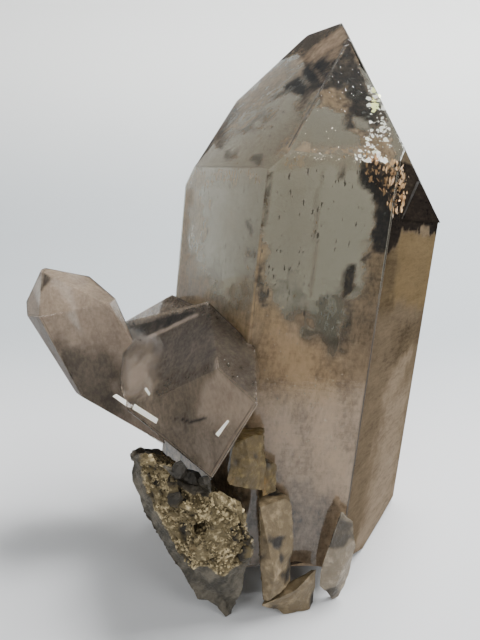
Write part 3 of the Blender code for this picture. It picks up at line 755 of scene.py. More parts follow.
class Web:
    """Node tree of one material, built by calls that return wires."""

    def __init__(self, name: str) -> None:
        """Start an empty node tree in a new material.

        Args:
            name: Name of the material.
        """
        self.material = bpy.data.materials.new(name)
        self.material.use_nodes = True
        self.tree = self.material.node_tree
        self.tree.nodes.clear()

    def node(self, kind: str, inputs: dict[str | int, object] | None = None,
             **settings: object) -> bpy.types.Node:
        """Make a node, set its options and feed its inputs.

        Args:
            kind: Blender's node type name.
            inputs: Values or wires by input name or number.
            **settings: Node attributes such as operation.

        Returns:
            The new node.
        """
        made = self.tree.nodes.new(kind)
        for key, value in settings.items():
            setattr(made, key, value)
        for key, value in (inputs or {}).items():
            if isinstance(value, Wire):
                self.tree.links.new(value.socket, made.inputs[key])
            elif isinstance(value, tuple) and made.inputs[key].type == "RGBA":
                made.inputs[key].default_value = (*value[:3], 1.0)
            else:
                made.inputs[key].default_value = value
        return made

    def maths(self, operation: str, a: Number, b: Number) -> Wire:
        """One Math node."""
        return Wire(self, self.node("ShaderNodeMath", {0: a, 1: b}, operation=operation).outputs[0])

    def place(self, lean: Triple = (0.0, 0.0, 0.0), stretch: Triple = (1.0, 1.0, 1.0)) -> Wire:
        """Place on the object in mm, turned into a leaning crystal's frame and stretched.

        Args:
            lean: The crystal's lean in degrees.
            stretch: How many times finer the pattern becomes along each axis.

        Returns:
            The place as a vector.
        """
        here = Wire(self, self.node("ShaderNodeTexCoord").outputs["Object"])
        turned = self.node("ShaderNodeMapping", {
            "Vector": here, "Rotation": [math.radians(a) for a in lean]}, vector_type="TEXTURE")
        scaled = self.node("ShaderNodeMapping", {
            "Vector": Wire(self, turned.outputs[0]), "Scale": [s / MM for s in stretch]})
        return Wire(self, scaled.outputs[0])

    def parts(self, vector: Wire) -> tuple[Wire, Wire, Wire]:
        """The X, Y and Z of a vector."""
        split = self.node("ShaderNodeSeparateXYZ", {0: vector})
        return tuple(Wire(self, out) for out in split.outputs)

    def noise(self, at: Wire, size: float, detail: float = 4.0, rough: float = 0.55,
              bend: float = 0.0) -> Wire:
        """Soft noise around 0.5.

        Args:
            at: The place.
            size: Width of the largest lumps in mm.
            detail: How many finer layers it has.
            rough: How strong the finer layers are, from 0 to 1.
            bend: How far the pattern is distorted.

        Returns:
            The noise value.
        """
        made = self.node("ShaderNodeTexNoise", {"Vector": at, "Scale": 1.0 / size, "Detail": detail,
                                                "Roughness": rough, "Distortion": bend})
        return Wire(self, made.outputs[0])

    def cells(self, at: Wire, size: float) -> Wire:
        """Distances in a pattern of cells size mm wide."""
        made = self.node("ShaderNodeTexVoronoi", {"Vector": at, "Scale": 1.0 / size}, feature="F1")
        return Wire(self, made.outputs["Distance"])

    def painted(self, name: str) -> Wire:
        """A value that was painted on the mesh's points."""
        made = self.node("ShaderNodeAttribute", attribute_name=name)
        return Wire(self, made.outputs["Fac"])

    def blend(self, factor: Wire, first: Colour | Wire, second: Colour | Wire) -> Wire:
        """Colour between two; a colour mix has its factor at input 0, its colours at 6 and 7."""
        made = self.node("ShaderNodeMix", {0: factor, 6: first, 7: second},
                         data_type="RGBA", clamp_factor=True)
        return Wire(self, made.outputs[2])

    def bump(self, height: Wire, depth: float, strength: float = 1.0) -> Wire:
        """Normal from a height, depth mm from lowest to highest."""
        made = self.node("ShaderNodeBump", {"Height": height, "Distance": depth * MM,
                                            "Strength": strength})
        return Wire(self, made.outputs[0])

    def shader(self, **inputs: object) -> bpy.types.Node:
        """Principled shader; an input's blanks are written as underscores."""
        named = {key.replace("_", " "): value for key, value in inputs.items()}
        return self.node("ShaderNodeBsdfPrincipled", named)

    def mixed(self, factor: Wire, first: bpy.types.Node, second: bpy.types.Node) -> bpy.types.Node:
        """Mix of two shaders."""
        return self.node("ShaderNodeMixShader", {0: factor, 1: Wire(self, first.outputs[0]),
                                                 2: Wire(self, second.outputs[0])})

    def done(self, surface: bpy.types.Node, volume: bpy.types.Node | None = None) -> bpy.types.Material:
        """Join the shaders to the material's output.

        Args:
            surface: Shader of the surface.
            volume: Shader of the inside, if it has one.

        Returns:
            The finished material.
        """
        out = self.node("ShaderNodeOutputMaterial", {"Surface": Wire(self, surface.outputs[0])})
        if volume is not None:
            self.tree.links.new(volume.outputs[0], out.inputs["Volume"])
        return self.material


@dataclass(frozen=True)
class ClearQuartz:
    """See-through smoky quartz with growth lines, small pits and a broken, stained foot.

    Each dull edge is a bevel, by its azimuth and rise, that is cloudy instead of shiny, and in painted
    shade: darker foot tones, darkest higher up, keep it from showing as a lit line.
    """

    name: str
    lean: Triple
    absorb: Colour
    density: float
    foot: float
    foot_colour: Colour
    pit: float
    dull_edges: tuple[Flat, ...]

    def material(self) -> bpy.types.Material:
        """Build the material.

        Returns:
            Clear quartz mixed with its cloudy parts, over an absorbing inside.
        """
        web = Web(self.name)
        at = web.place(self.lean)
        across = web.place(self.lean, (0.22, 0.22, 1.6))
        along = web.place(self.lean, (1.0, 1.0, 0.30))
        lines = web.noise(across, 1.6, 3.0, 0.6)
        waves = web.noise(at, 16.0, 2.0, 0.5)
        pits = web.noise(along, 1.5, 3.0, 0.6).ease(0.66, 0.76)
        nicks = web.noise(at, 0.8, 2.0, 0.5).ease(0.70, 0.80)
        height = lines * 0.45 + waves * 0.9 - pits * (0.6 * self.pit) - nicks * 0.3
        clear = web.shader(Base_Color=(1.0, 1.0, 1.0), Roughness=0.015, IOR=QUARTZ_IOR,
                           Transmission_Weight=1.0, Normal=web.bump(height, 0.12, 0.4))
        _, _, high = web.parts(web.place())
        broken = (high + web.noise(at, 9.0, 4.0, 0.6) * 18.0 - 9.0).ease(self.foot, self.foot - 8.0)
        chips = web.cells(at, 5.0) + web.noise(at, 2.0, 5.0, 0.65) * 0.6
        tone = web.noise(at, 5.0, 6.0, 0.65).ease(0.35, 0.7)
        dark, edge_shade = (tuple(c * share for c in self.foot_colour) for share in (0.45, 0.12))
        specks = web.noise(along, 1.1, 4.0, 0.7).ease(0.70, 0.74)
        mask = (broken * 0.8).most(specks * (0.45 * self.pit))
        facing = web.parts(Wire(web, web.node("ShaderNodeNewGeometry").outputs["True Normal"]))
        base = web.blend(tone, dark, self.foot_colour)
        # Painted shade: the dull edges take the darker foot tones, the darkest above 108 to 122 mm
        for azimuth, rise in self.dull_edges:
            n = towards(self.lean, azimuth, rise)
            edge = (facing[0] * n.x + facing[1] * n.y + facing[2] * n.z).ease(0.955, 0.975)
            base = web.blend(edge, base, web.blend(high.ease(108.0, 122.0), dark, edge_shade))
            mask = mask.most(edge * 0.9)
        cloudy = web.shader(Base_Color=base, Roughness=0.45, Specular_IOR_Level=0.3,
                            Normal=web.bump(chips, 1.2, 0.6))
        smoke = web.node("ShaderNodeVolumeAbsorption", {"Color": self.absorb, "Density": self.density})
        return web.done(web.mixed(mask, clear, cloudy), smoke)


@dataclass(frozen=True)
class VeilFinish:
    """Cloudy film inside a crystal, with its density, gold and shade painted on its points. The shade
    darkens it towards black, for dark inclusions and as painted shade of the crystal's dark inner
    reflections.

    Wisp is the width of its wisps in mm, lines the strength of its growth lines, contrast that of
    its grain, and run how much finer it is along each axis of the crystal.
    """

    name: str
    lean: Triple
    pink: tuple[Colour, Colour]
    gold: tuple[Colour, Colour]
    dark: Colour
    wisp: float
    lines: float = 0.14
    contrast: float = 1.0
    run: Triple = (1.0, 1.0, 0.6)
    specular: float = 0.3

    def material(self) -> bpy.types.Material:
        """Build the material.

        Returns:
            A film whose colour and alpha follow the painted values.
        """
        web = Web(self.name)
        at = web.place(self.lean, self.run)
        body = web.noise(at, self.wisp, 6.0, 0.68, 0.5)
        fleck = web.noise(at, self.wisp * 0.14, 4.0, 0.7)
        stripes = web.noise(web.place(self.lean, (0.12, 0.12, 1.5)), 1.6, 3.0, 0.65)
        grain = ((body * 0.55 + fleck * 0.45 - 0.5) * self.contrast + (stripes - 0.5) * self.lines + 0.625)
        tone = grain.ease(0.40, 0.76)
        uneven = grain - 0.58
        cloud, shade = web.painted("cloud"), web.painted("shade")
        pattern = uneven * 1.3 + cloud
        alpha = (pattern * cloud.ease(0.02, 0.30)).most(0.0).least(0.98)
        haze = web.blend(web.painted("gold"), web.blend(tone, *self.pink), web.blend(tone, *self.gold))
        # How far the haze goes to black: dark inclusions, and painted shade of the dark inner reflections
        depth = (shade + uneven * shade.ease(0.25, 0.6) * -1.1).ease(-0.02, 1.0)
        film = web.shader(Base_Color=web.blend(depth, haze, self.dark), Roughness=0.5,
                          Specular_IOR_Level=self.specular, Alpha=alpha,
                          Normal=web.bump(body + fleck, 0.5, 0.35))
        return web.done(film)


@dataclass(frozen=True)
class FlakeFinish:
    """Film of tiny cracks that throws back the light, and glows in its own colour as a painted highlight.
    """

    kind: Flake

    def material(self) -> bpy.types.Material:
        """Build the material.

        Returns:
            A film in the kind's two colours.
        """
        first, second, metal, alpha, glow = self.kind.value
        web = Web("flake_" + self.kind.name.lower())
        tone = web.noise(web.place(), 3.0, 3.0, 0.6).ease(0.4, 0.62)
        colour = web.blend(tone, first, second)
        # Painted highlight: the flake glows in its own colour
        return web.done(web.shader(Base_Color=colour, Metallic=metal, Roughness=0.22, Alpha=alpha,
                                   Emission_Color=colour, Emission_Strength=glow))


@dataclass(frozen=True)
class RockFinish:
    """Rough mineral in two tones with stains, painted shade in its hollows, and barer quartz off its
    crust.

    Grain is the width of its grains in mm.
    """

    name: str
    pale: Colour
    mid: Colour
    dark: Colour
    stain: Colour
    bare: tuple[Colour, Colour]
    grain: float
    stain_share: float
    gloss: float

    def material(self) -> bpy.types.Material:
        """Build the material.

        Returns:
            An opaque mineral that follows the painted shade of its hollows, and its crust.
        """
        web = Web(self.name)
        at = web.place()
        lumps = web.noise(at, self.grain * 4.0, 6.0, 0.65)
        fine = web.noise(at, self.grain, 5.0, 0.7)
        cells = web.cells(at, self.grain * 0.9)
        shade_and_tone, crust = web.painted("shade_and_tone"), web.painted("crust")
        crusty = web.blend((fine * 0.6 + lumps * 0.6 - shade_and_tone * 0.7).ease(0.40, 0.70), self.mid, self.pale)
        crusty = web.blend(web.noise(at, self.grain * 7.0, 4.0, 0.6).ease(
            0.72 - self.stain_share * 0.5, 0.86 - self.stain_share * 0.5), crusty, self.stain)
        streaks = web.noise(web.place((20.0, 30.0, 0.0), (1.0, 1.0, 0.35)), self.grain * 2.5, 6.0, 0.7)
        plain = web.blend(streaks.ease(0.38, 0.66), *self.bare)
        # Painted shade in the hollows and the cavity; on the grains the same value is a random darker tone
        shade = (shade_and_tone + cells * 0.3 - 0.15).ease(0.25, 1.0)
        edge = (crust + (fine - 0.5) * 0.8).ease(0.35, 0.65)
        colour = web.blend(shade, web.blend(edge, plain, crusty), self.dark)
        sheen = fine.ease(0.35, 0.75) * -0.2 + edge * 0.3 + (self.gloss - 0.3)
        rock = web.shader(Base_Color=colour, Roughness=sheen, Specular_IOR_Level=0.3,
                          Normal=web.bump(fine * 0.6 + lumps * 0.5 - cells * 0.3, 0.9, 0.8))
        return web.done(rock)


@dataclass(frozen=True)
class PaperFinish:
    """Matt studio paper that changes tone towards the back and the top: its darker middle and lighter top
    are painted light.
    """

    name: str
    floor: Colour
    middle: Colour
    top: Colour
    reach: Flat = (60.0, 330.0)

    def material(self) -> bpy.types.Material:
        """Build the material.

        Returns:
            Matt paper; its tones change over the reach in mm.
        """
        web = Web(self.name)
        _, back, high = web.parts(web.place())
        drift = web.noise(web.place(), 300.0, 2.0, 0.5) * 40.0
        colour = web.blend((back + drift).ease(*self.reach), self.floor, self.middle)
        colour = web.blend((high + drift).ease(*self.reach), colour, self.top)
        return web.done(web.shader(Base_Color=colour, Roughness=0.8, Specular_IOR_Level=0.15))


def half_hull(chain: Iterable[Flat]) -> list[Flat]:
    """One side of a convex ring, without its last point.

    Args:
        chain: Points in the order of their first number, up or down.

    Returns:
        The points that turn anticlockwise.
    """
    kept: list[Flat] = []
    for p in chain:
        while len(kept) > 1:
            (ax, ay), (bx, by) = kept[-2], kept[-1]
            if (bx - ax) * (p[1] - ay) - (by - ay) * (p[0] - ax) > 0:
                break
            kept.pop()
        kept.append(p)
    return kept[:-1]


def hull_ring(points: Iterable[Vector]) -> list[Vector]:
    """Convex ring around flat points, anticlockwise."""
    todo = sorted({(round(p.x, 3), round(p.y, 3)) for p in points})
    return [Vector(p) for p in half_hull(todo) + half_hull(reversed(todo))]


def flat_faces(node: str, smallest: float = 60.0) -> list[FlatFace]:
    """The flat faces of a CAD node, largest first, with lengths in mm.

    Args:
        node: Name of the CAD node.
        smallest: Least area of a face in square mm.

    Returns:
        The faces.
    """
    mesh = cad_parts[node].data
    groups: list[tuple[Vector, float, list[bpy.types.MeshPolygon]]] = []
    for poly in sorted(mesh.polygons, key=lambda p: -p.area):
        n = poly.normal.copy()
        out = n.dot(poly.center) / MM
        for normal, distance, polys in groups:
            if normal.dot(n) > SAME_FACE and abs(distance - out) < SAME_DISTANCE:
                polys.append(poly)
                break
        else:
            groups.append((n, out, [poly]))
    found = []
    for n, _, polys in groups:
        area = sum(p.area for p in polys) / MM ** 2
        if area < smallest:
            continue
        points = [mesh.vertices[i].co / MM for p in polys for i in p.vertices]
        centre = sum(points, Vector()) / len(points)
        side = n.orthogonal().normalized()
        up = n.cross(side)
        ring = hull_ring(Vector(((p - centre).dot(side), (p - centre).dot(up))) for p in points)
        found.append(FlatFace(n, centre, [centre + side * q.x + up * q.y for q in ring], area))
    return sorted(found, key=lambda f: -f.area)


def nearest_face(faces: list[FlatFace], direction: Vector) -> FlatFace:
    """The face that looks most nearly in a direction; of equal ones the largest."""
    return max(faces, key=lambda f: f.normal.dot(direction) + min(f.area, AREA_CAP) * AREA_WEIGHT)


def add_mesh(name: str, points: list[Vector], faces: list[list[int]],
             painted: dict[str, list[float]] | None = None) -> bpy.types.Object:
    """New object from points in mm.

    Args:
        name: Name of the object and its mesh.
        points: The points in mm.
        faces: Numbers of each face's points.
        painted: Values for the points, by attribute name.

    Returns:
        The object, in metres.
    """
    mesh = bpy.data.meshes.new(name)
    mesh.from_pydata([tuple(p * MM) for p in points], [], faces)
    for key, values in (painted or {}).items():
        layer = mesh.attributes.new(key, "FLOAT", "POINT")
        layer.data.foreach_set("value", values)
    mesh.update()
    obj = bpy.data.objects.new(name, mesh)
    bpy.context.scene.collection.objects.link(obj)
    return obj


def settle(obj: bpy.types.Object, material: bpy.types.Material, slot: Slot,
           replaces: str | None = None) -> bpy.types.Object:
    """Give a piece its material, and let it ride on the cluster.

    Args:
        obj: The piece.
        material: Its material.
        slot: The slot that the material stands for; not used.
        replaces: Name of the CAD node that it stands in for, if any.

    Returns:
        The piece.
    """
    obj.data.materials.append(material)
    if replaces:
        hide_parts(replaces)
    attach(obj, "root")
    LOG.info("%s: %d faces", obj.name, len(obj.data.polygons))
    return obj


def paint(node: bpy.types.Object, material: bpy.types.Material) -> None:
    """Give a CAD node one material, and join the points that its flat faces keep apart.

    Args:
        node: The node's object.
        material: Its material.
    """
    node.data.materials.clear()
    node.data.materials.append(material)
    weld = node.modifiers.new("one_skin", "WELD")
    weld.merge_threshold = WELD_METRES
    LOG.info("%s: painted with %s", node.name, material.name)


@dataclass
class VeilSheet:
    """Thin cloudy sheet at a crystal face, a grid of squares that waves by warp in depth."""

    face: FlatFace
    axis: Vector
    cloud: Cloud
    step: float = 1.1
    warp: float = 0.5

    def build(self, points: list[Vector], faces: list[list[int]], tints: list[Tint]) -> None:
        """Add the sheet's points, faces and tints to the lists.

        Args:
            points: Points in mm, extended.
            faces: Numbers of each face's points, extended.
            tints: Tint of each point, extended.
        """
        n = self.face.normal
        up = (self.axis - n * self.axis.dot(n)).normalized()
        side = up.cross(n)
        centre = self.face.centre
        flat = hull_ring(Vector(((p - centre).dot(side), (p - centre).dot(up)))
                         for p in self.face.outline)
        edges = [(a, (b - a).normalized()) for a, b in zip(flat, flat[1:] + flat[:1])]
        low, high = extent(flat)
        counts = [int((high[i] - low[i]) / self.step) + 2 for i in (0, 1)]
        index: dict[tuple[int, int], int] = {}
        for i in range(counts[0]):
            for j in range(counts[1]):
                q = Vector((low[0] + i * self.step, low[1] + j * self.step))
                room, inward = min((d.x * (q.y - a.y) - d.y * (q.x - a.x), (-d.y, d.x)) for a, d in edges)
                if room < -self.step:
                    continue
                q += Vector(inward) * max(0.0, -room)
                p = centre + side * q.x + up * q.y
                tint = self.cloud.at(p)
                if tint.cloud < THINNEST_CLOUD:
                    continue
                index[i, j] = len(points)
                points.append(p - n * (self.cloud.depth + self.warp * fractal(p, 14.0, 3, 2.0)))
                tints.append(tint)
        for (i, j), k in index.items():
            ring = [k, index.get((i + 1, j)), index.get((i + 1, j + 1)), index.get((i, j + 1))]
            if None not in ring:
                faces.append(ring)


@dataclass
class Veils:
    """Several sheets joined in one piece."""

    name: str
    sheets: list[VeilSheet]
    finish: VeilFinish
    slot: Slot

    def build(self) -> bpy.types.Object:
        """Make the piece.

        Returns:
            The piece, with its tints painted on its points.
        """
        points: list[Vector] = []
        faces: list[list[int]] = []
        tints: list[Tint] = []
        for sheet in self.sheets:
            sheet.build(points, faces, tints)
        painted = {"cloud": [t.cloud for t in tints], "gold": [t.gold for t in tints],
                   "shade": [t.shade for t in tints]}
        obj = add_mesh(self.name, points, faces, painted)
        obj.data.shade_smooth()
        return settle(obj, self.finish.material(), self.slot)


@dataclass
class RoughSkin:
    """Finely divided skin of a rough piece, with relief that the solid only hints at.

    Length is that of its edges, relief the depth of its hollows and grain their width, in mm. Edges
    longer than length times slack are cut. Crust and cavity are rings of X and Z; without a crust
    ring the whole piece is crust.
    """

    node: str
    finish: RockFinish
    slot: Slot
    length: float
    relief: float
    grain: float
    seed: float
    crust: Ring = ()
    cavity: Ring = ()
    cavity_depth: float = 1.8
    slack: float = 1.4
    most_cuts: int = 9

    def crust_at(self, p: Vector) -> float:
        """How much crust a place has.

        Args:
            p: The place in mm.

        Returns:
            A number from 0 to 1.
        """
        if not self.crust:
            return 1.0
        x, z = p.x + 2.0 * fractal(p, 6.0, 3, 4.0), p.z + 2.0 * fractal(p, 6.0, 3, 6.0)
        return ease(-1.5, 1.5, room_in(self.crust, x, z))

    def divided(self) -> bmesh.types.BMesh:
        """The solid in mm with its faces cut small.

        Returns:
            The mesh, which the caller frees.
        """
        bm = bmesh.new()
        bm.from_mesh(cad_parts[self.node].data)
        bmesh.ops.scale(bm, vec=(1 / MM,) * 3, verts=bm.verts)
        bmesh.ops.remove_doubles(bm, verts=bm.verts, dist=0.01)
        bmesh.ops.triangulate(bm, faces=bm.faces)
        for _ in range(self.most_cuts):
            long = [e for e in bm.edges if e.calc_length() > self.length * self.slack]
            if not long:
                break
            bmesh.ops.subdivide_edges(bm, edges=long, cuts=1, smooth=0.0)
            bmesh.ops.triangulate(bm, faces=[f for f in bm.faces if len(f.verts) > 3])
        bmesh.ops.smooth_vert(bm, verts=bm.verts, factor=0.5, use_axis_x=True, use_axis_y=True,
                              use_axis_z=True)
        bm.normal_update()
        return bm

    def build(self) -> bpy.types.Object:
        """Make the piece in place of the plain solid.

        Returns:
            The piece, with the painted shade of its hollows and its crust on its points.
        """
        bm = self.divided()
        shade_and_tone, crusts, moves = [], [], []
        for v in bm.verts:
            p = v.co + Vector((self.seed * 7.0, 0.0, self.seed * 3.0))
            lump = 1.0 - min(1.0, noise.voronoi(p / self.grain)[0][0] * 1.35)
            small = 1.0 - min(1.0, noise.voronoi(p / (self.grain * 0.45))[0][0] * 1.35)
            hole = ease(0.15, 0.65, fractal(p, self.grain * 3.0, 3, self.seed))
            crust = self.crust_at(v.co)
            rough = 0.3 + 0.7 * crust
            sunk = ease(-1.0, 2.5, room_in(self.cavity, v.co.x, v.co.z)) if self.cavity else 0.0
            dent = rough * (0.55 * (1 - lump) + 0.2 * (1 - small) + 0.9 * hole)
            # Painted shade: darker where the skin is dented, and darkest in the cavity
            shade_and_tone.append(min(1.0, max(rough * (0.35 * (1 - lump) + 0.75 * hole), 0.95 * sunk)))
            crusts.append(crust)
            moves.append(v.normal * -(self.relief * dent + self.cavity_depth * sunk))
        for v, move in zip(bm.verts, moves):
            v.co += move
            v.co.z = max(v.co.z, 0.0)
        bm.verts.index_update()
        points = [v.co.copy() for v in bm.verts]
        faces = [[v.index for v in f.verts] for f in bm.faces]
        bm.free()
        obj = add_mesh(self.node + "_skin", points, faces, {"shade_and_tone": shade_and_tone, "crust": crusts})
        return settle(obj, self.finish.material(), self.slot, self.node)


@dataclass
class Grains:
    """Loose-looking grains that stand on a skin's crust, as one piece.

    The count is how many are tried. Places where the noise is above bare_above or the crust below
    least_crust stay bare. The radii and the lowest Z are in mm.
    """

    skin: RoughSkin
    count: int
    smallest: float
    largest: float
    seed: int = 5
    lowest: float = 0.05
    bare_above: float = 0.28
    least_crust: float = 0.6

    def build(self) -> bpy.types.Object:
        """Make the piece.

        Returns:
            The piece, with a random darker tone for each grain painted on its points.
        """
        rng = random.Random(self.seed)
        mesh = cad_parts[self.skin.node].data
        polys = [p for p in mesh.polygons if p.area > 1e-9]
        base = bmesh.new()
        bmesh.ops.create_icosphere(base, subdivisions=1, radius=1.0)
        ball = [v.co.copy() for v in base.verts]
        rings = [[v.index for v in f.verts] for f in base.faces]
        base.free()
        points: list[Vector] = []
        faces: list[list[int]] = []
        shade_and_tone: list[float] = []
        for poly in rng.choices(polys, [p.area for p in polys], k=self.count):
            a, b, c = (mesh.vertices[i].co / MM for i in poly.vertices[:3])
            u, v = rng.random(), rng.random()
            if u + v > 1:
                u, v = 1 - u, 1 - v
            at = a + (b - a) * u + (c - a) * v
            if fractal(at, 7.0, 3, 2.0) > self.bare_above or self.skin.crust_at(at) < self.least_crust:
                continue
            size = self.smallest + (self.largest - self.smallest) * rng.random() ** 2.2
            sunk = at - poly.normal * size * rng.uniform(0.55, 1.1)
            squash = Vector([rng.uniform(0.6, 1.0) for _ in range(3)]) * size
            spin = Euler([rng.uniform(0, 6.3) for _ in range(3)]).to_matrix()
            start = len(points)
            for q in ball:
                dent = 1.0 + 0.35 * (rng.random() - 0.5)
                points.append(sunk + spin @ Vector([q[i] * squash[i] * dent for i in range(3)]))
            faces += [[start + i for i in ring] for ring in rings]
            shade_and_tone += [rng.random() ** 2 * 0.75] * len(ball)
        points = [Vector((p.x, p.y, max(p.z, self.lowest))) for p in points]
        painted = {"shade_and_tone": shade_and_tone, "crust": [1.0] * len(points)}
        return settle(add_mesh(self.skin.node + "_grains", points, faces, painted),
                      self.skin.finish.material(), self.skin.slot)


# Darker and lighter tone of each haze
PINK = ((0.33, 0.232, 0.15), (0.70, 0.52, 0.35))
GOLDEN = ((0.27, 0.175, 0.080), (0.62, 0.44, 0.235))
PINK_SIDE = ((0.34, 0.255, 0.185), (0.74, 0.60, 0.48))
GOLDEN_SIDE = ((0.27, 0.19, 0.105), (0.60, 0.46, 0.29))
PINK_SKIN = ((0.10, 0.075, 0.052), (0.225, 0.175, 0.126))
GOLDEN_SKIN = ((0.060, 0.040, 0.019), (0.15, 0.107, 0.056))
# Black that the veils darken towards: dark inclusions, and painted shade of the dark inner reflections
BLACK = (0.010, 0.008, 0.007)
GREY_QUARTZ = ((0.034, 0.030, 0.022), (0.125, 0.108, 0.080))


@dataclass
class MainCrystal:
    """The tall crystal with its veils, sparkles and dark inclusions, and the painted shade of its dark
    inner reflections.
    """

    quartz: ClearQuartz = ClearQuartz(
        "clear_quartz", MAIN_LEAN, absorb=(0.307, 0.256, 0.126), density=26.5, foot=13.0,
        foot_colour=(0.30, 0.235, 0.18), pit=1.0, dull_edges=((30.0, 0.0), (-30.0, 42.3)))
    veil: VeilFinish = VeilFinish("main_veil", MAIN_LEAN, PINK, GOLDEN, BLACK, wisp=11.0)
    skin: VeilFinish = VeilFinish("main_skin", MAIN_LEAN, PINK_SKIN, GOLDEN_SKIN, BLACK, wisp=9.0,
                                  contrast=0.5, run=(0.35, 0.35, 1.3), specular=0.0)
    haze: Patch = Patch(((-90.0, -20.0), (120.0, -20.0), (120.0, 84.0), (-90.0, 84.0)), 22.0, 12.0,
                        Tint(0.9, 0.3, 0.15))
    back_depth: float = 2.0
    back_step: float = 2.4
    back_azimuths: Triple = (120.0, 180.0, -120.0)

    def veils(self, faces: list[FlatFace], axis: Vector) -> None:
        """Lay the veils and skins that the photo shows.

        Args:
            faces: The crystal's faces.
            axis: Its long axis.
        """
        for look in MAIN_LOOKS:
            face = look.facing.find(faces)
            level = [f for f in faces if f.normal.dot(face.normal) > LEVEL_FACES]
            cloud = look.laid(face)
            finish, warp = (self.veil, 0.5) if look.depth > 0.0 else (self.skin, 0.0)
            Veils("main_" + look.name + "_veil", [VeilSheet(f, axis, cloud, warp=warp) for f in level],
                  finish, Slot.CLEAR).build()

    def dress(self) -> None:
        """Give the solid its quartz and fill it; the back is cloudy below and clear above."""
        paint(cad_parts["main_crystal"], self.quartz.material())
        faces = flat_faces("main_crystal")
        axis = towards(MAIN_LEAN, 0.0, 90.0)
        self.veils(faces, axis)
        back = Cloud(self.back_depth, Tint(0.0, 0.2, 0.2), (self.haze,))
        behind = [Facing(MAIN_LEAN, a, 0.0).find(faces) for a in self.back_azimuths]
        Veils("main_back_veil", [VeilSheet(f, axis, back, self.back_step) for f in behind], self.veil,
              Slot.CLEAR).build()
        for scatter in SCATTERS:
            scatter.build(faces)


@dataclass
class SideCrystals:
    """The left and middle crystals with their cloudier insides."""

    quartz: ClearQuartz = ClearQuartz(
        "brown_quartz", MIDDLE_LEAN, absorb=(0.68, 0.55, 0.33), density=15.0, foot=30.0,
        foot_colour=(0.22, 0.17, 0.13), pit=0.7, dull_edges=((-20.4, -21.1),))
    veil: VeilFinish = VeilFinish("side_veil", MIDDLE_LEAN, PINK_SIDE, GOLDEN_SIDE, BLACK, wisp=9.0,
                                  lines=0.04, contrast=0.5)
    rest: Cloud = Cloud(0.9, Tint(0.45, 0.4, 0.38))
    smallest_face: float = 25.0
    fine_step: float = 0.8
    coarse_step: float = 1.6
    warp: float = 0.3

    def dress(self) -> None:
        """Give the solid its quartz and fill it; faces without a look of their own get the rest."""
        paint(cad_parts["side_crystals"], self.quartz.material())
        faces = flat_faces("side_crystals", self.smallest_face)
        axis = towards(MIDDLE_LEAN, 0.0, 90.0)
        clouds: dict[int, Cloud] = {}
        for look in SIDE_LOOKS:
            face = look.facing.find(faces)
            clouds[id(face)] = look.laid(face)
        sheets = [VeilSheet(f, axis, clouds.get(id(f), self.rest),
                            self.fine_step if id(f) in clouds else self.coarse_step, self.warp)
                  for f in faces]
        Veils("side_veils", sheets, self.veil, Slot.BROWN).build()
        for glint in GLINTS:
            glint.build(faces)


@dataclass
class Rocks:
    """The granular rock and the fractured quartz at the foot."""

    crust: RockFinish = RockFinish(
        "granular_crust", pale=(0.58, 0.47, 0.27), mid=(0.13, 0.10, 0.050), dark=(0.030, 0.026, 0.020),
        stain=(0.20, 0.13, 0.055), bare=GREY_QUARTZ, grain=1.8, stain_share=0.22, gloss=0.9)
    yellow: RockFinish = RockFinish(
        "stained_quartz", pale=(0.18, 0.132, 0.052), mid=(0.080, 0.055, 0.021),
        dark=(0.030, 0.022, 0.012), stain=(0.16, 0.095, 0.03), bare=GREY_QUARTZ, grain=2.2,
        stain_share=0.3, gloss=0.45)
    dark: RockFinish = RockFinish(
        "dark_quartz", pale=(0.28, 0.212, 0.125), mid=(0.135, 0.10, 0.055), dark=(0.022, 0.018, 0.014),
        stain=(0.15, 0.10, 0.05), bare=GREY_QUARTZ, grain=2.6, stain_share=0.15, gloss=0.5)
    pale: RockFinish = RockFinish(
        "pale_quartz", pale=(0.36, 0.30, 0.22), mid=(0.19, 0.155, 0.11), dark=(0.06, 0.05, 0.038),
        stain=(0.22, 0.16, 0.09), bare=GREY_QUARTZ, grain=2.4, stain_share=0.2, gloss=0.45)

    def dress(self) -> None:
        """Replace the plain solids by finely broken ones, and set the grains on the crust."""
        crust, cavity = (SIGHT.lay(outline, Vector((0.0, -1.0, 0.0)), Vector((0.0, ROCK_DEPTH, 0.0)))
                         for outline in (CRUST_OUTLINE, CAVITY_OUTLINE))
        rock = RoughSkin("matrix", self.crust, Slot.ROCK, length=0.75, relief=1.4, grain=2.4, seed=1.0,
                         crust=crust, cavity=cavity)
        rock.build()
        Grains(rock, count=7000, smallest=0.25, largest=0.95).build()
        for node, finish, slot, relief, grain, seed in (
                ("yellow_quartz", self.yellow, Slot.STAINED, 0.5, 3.0, 2.0),
                ("rock_column", self.dark, Slot.DARK, 0.5, 3.2, 3.0),
                ("foot_block", self.dark, Slot.DARK, 0.4, 4.0, 4.0),
                ("foot_shard", self.pale, Slot.PALE, 0.3, 5.0, 5.0)):
            RoughSkin(node, finish, slot, length=0.7, relief=relief, grain=grain, seed=seed).build()


@dataclass(frozen=True)
class Lamp:
    """Square soft light: its place, size, power in watts, and the point it is aimed at."""

    name: str
    place: Triple
    size: float
    watts: float
    aim: Triple = (0.0, 0.0, 90.0)

    def build(self) -> None:
        """Hang the lamp."""
        light = bpy.data.lights.new(self.name, "AREA")
        light.size = self.size * MM
        light.energy = self.watts
        obj = bpy.data.objects.new(self.name, light)
        obj.location = Vector(self.place) * MM
        obj.rotation_euler = (Vector(self.aim) - Vector(self.place)).to_track_quat("-Z", "Y").to_euler()
        bpy.context.scene.collection.objects.link(obj)


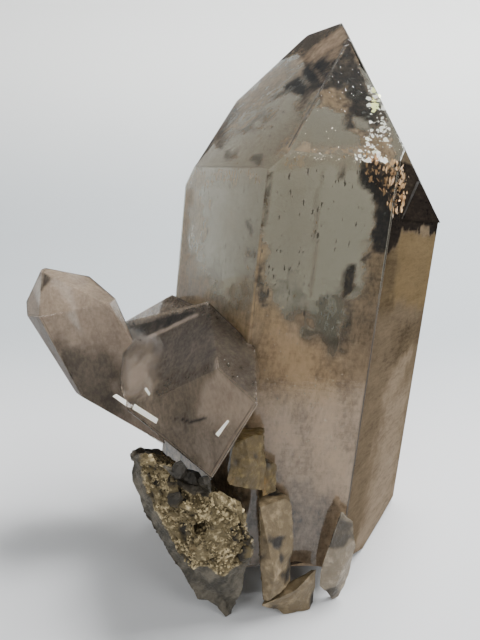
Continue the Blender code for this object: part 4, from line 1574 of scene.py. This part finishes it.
@dataclass
class Studio:
    """Pale floor that sweeps up behind the object, soft lights and the camera.

    The backdrop ends and the floor starts where the crystal faces would otherwise mirror them.
    """

    # The paper's darker middle and lighter top are painted light of the backdrop
    paper: PaperFinish = PaperFinish("studio_paper", floor=(0.73, 0.74, 0.75),
                                     middle=(0.50, 0.535, 0.555), top=(0.90, 0.91, 0.89))
    lamps: tuple[Lamp, ...] = (
        Lamp("key", (850.0, 250.0, 950.0), 800.0, 24.0),
        Lamp("backdrop_light", (250.0, 330.0, 1300.0), 400.0, 19.0, (-100.0, 700.0, 300.0)),
        Lamp("left_fill", (-700.0, -1100.0, 900.0), 800.0, 10.0),
        Lamp("right_fill", (900.0, -1000.0, 900.0), 700.0, 8.0))
    sky: Colour = (0.60, 0.62, 0.64)
    sky_strength: float = 0.28
    floor_front: float = -400.0
    bend_start: float = 300.0
    bend_radius: float = 400.0
    bend_steps: int = 12
    backdrop_top: float = 430.0
    half_width: float = 1600.0
    gap_below: float = 0.05

    def floor(self) -> None:
        """Floor and backdrop in one curved sheet."""
        points: list[Vector] = []
        profile = [(self.floor_front, 0.0), (self.bend_start, 0.0)]
        for k in range(1, self.bend_steps + 1):
            a = math.radians(90.0 * k / self.bend_steps)
            profile.append((self.bend_start + self.bend_radius * math.sin(a),
                            self.bend_radius - self.bend_radius * math.cos(a)))
        profile.append((self.bend_start + self.bend_radius, self.backdrop_top))
        for y, z in profile:
            points += [Vector((x, y, z - self.gap_below)) for x in (-self.half_width, self.half_width)]
        faces = [[2 * k, 2 * k + 1, 2 * k + 3, 2 * k + 2] for k in range(len(profile) - 1)]
        obj = add_mesh("studio_floor", points, faces)
        obj.data.shade_smooth()
        obj.data.materials.append(self.paper.material())

    def build(self) -> None:
        """Everything around the object."""
        self.floor()
        for lamp in self.lamps:
            lamp.build()
        world = bpy.data.worlds.new("studio")
        world.use_nodes = True
        sky = world.node_tree.nodes["Background"]
        sky.inputs["Color"].default_value = (*self.sky, 1.0)
        sky.inputs["Strength"].default_value = self.sky_strength
        bpy.context.scene.world = world
        SIGHT.build()


def main() -> None:
    """Build the studio and dress the whole cluster."""
    logging.basicConfig(level=logging.INFO)
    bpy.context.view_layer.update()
    Studio().build()
    MainCrystal().dress()
    SideCrystals().dress()
    Rocks().dress()


if __name__ == "__main__":
    main()
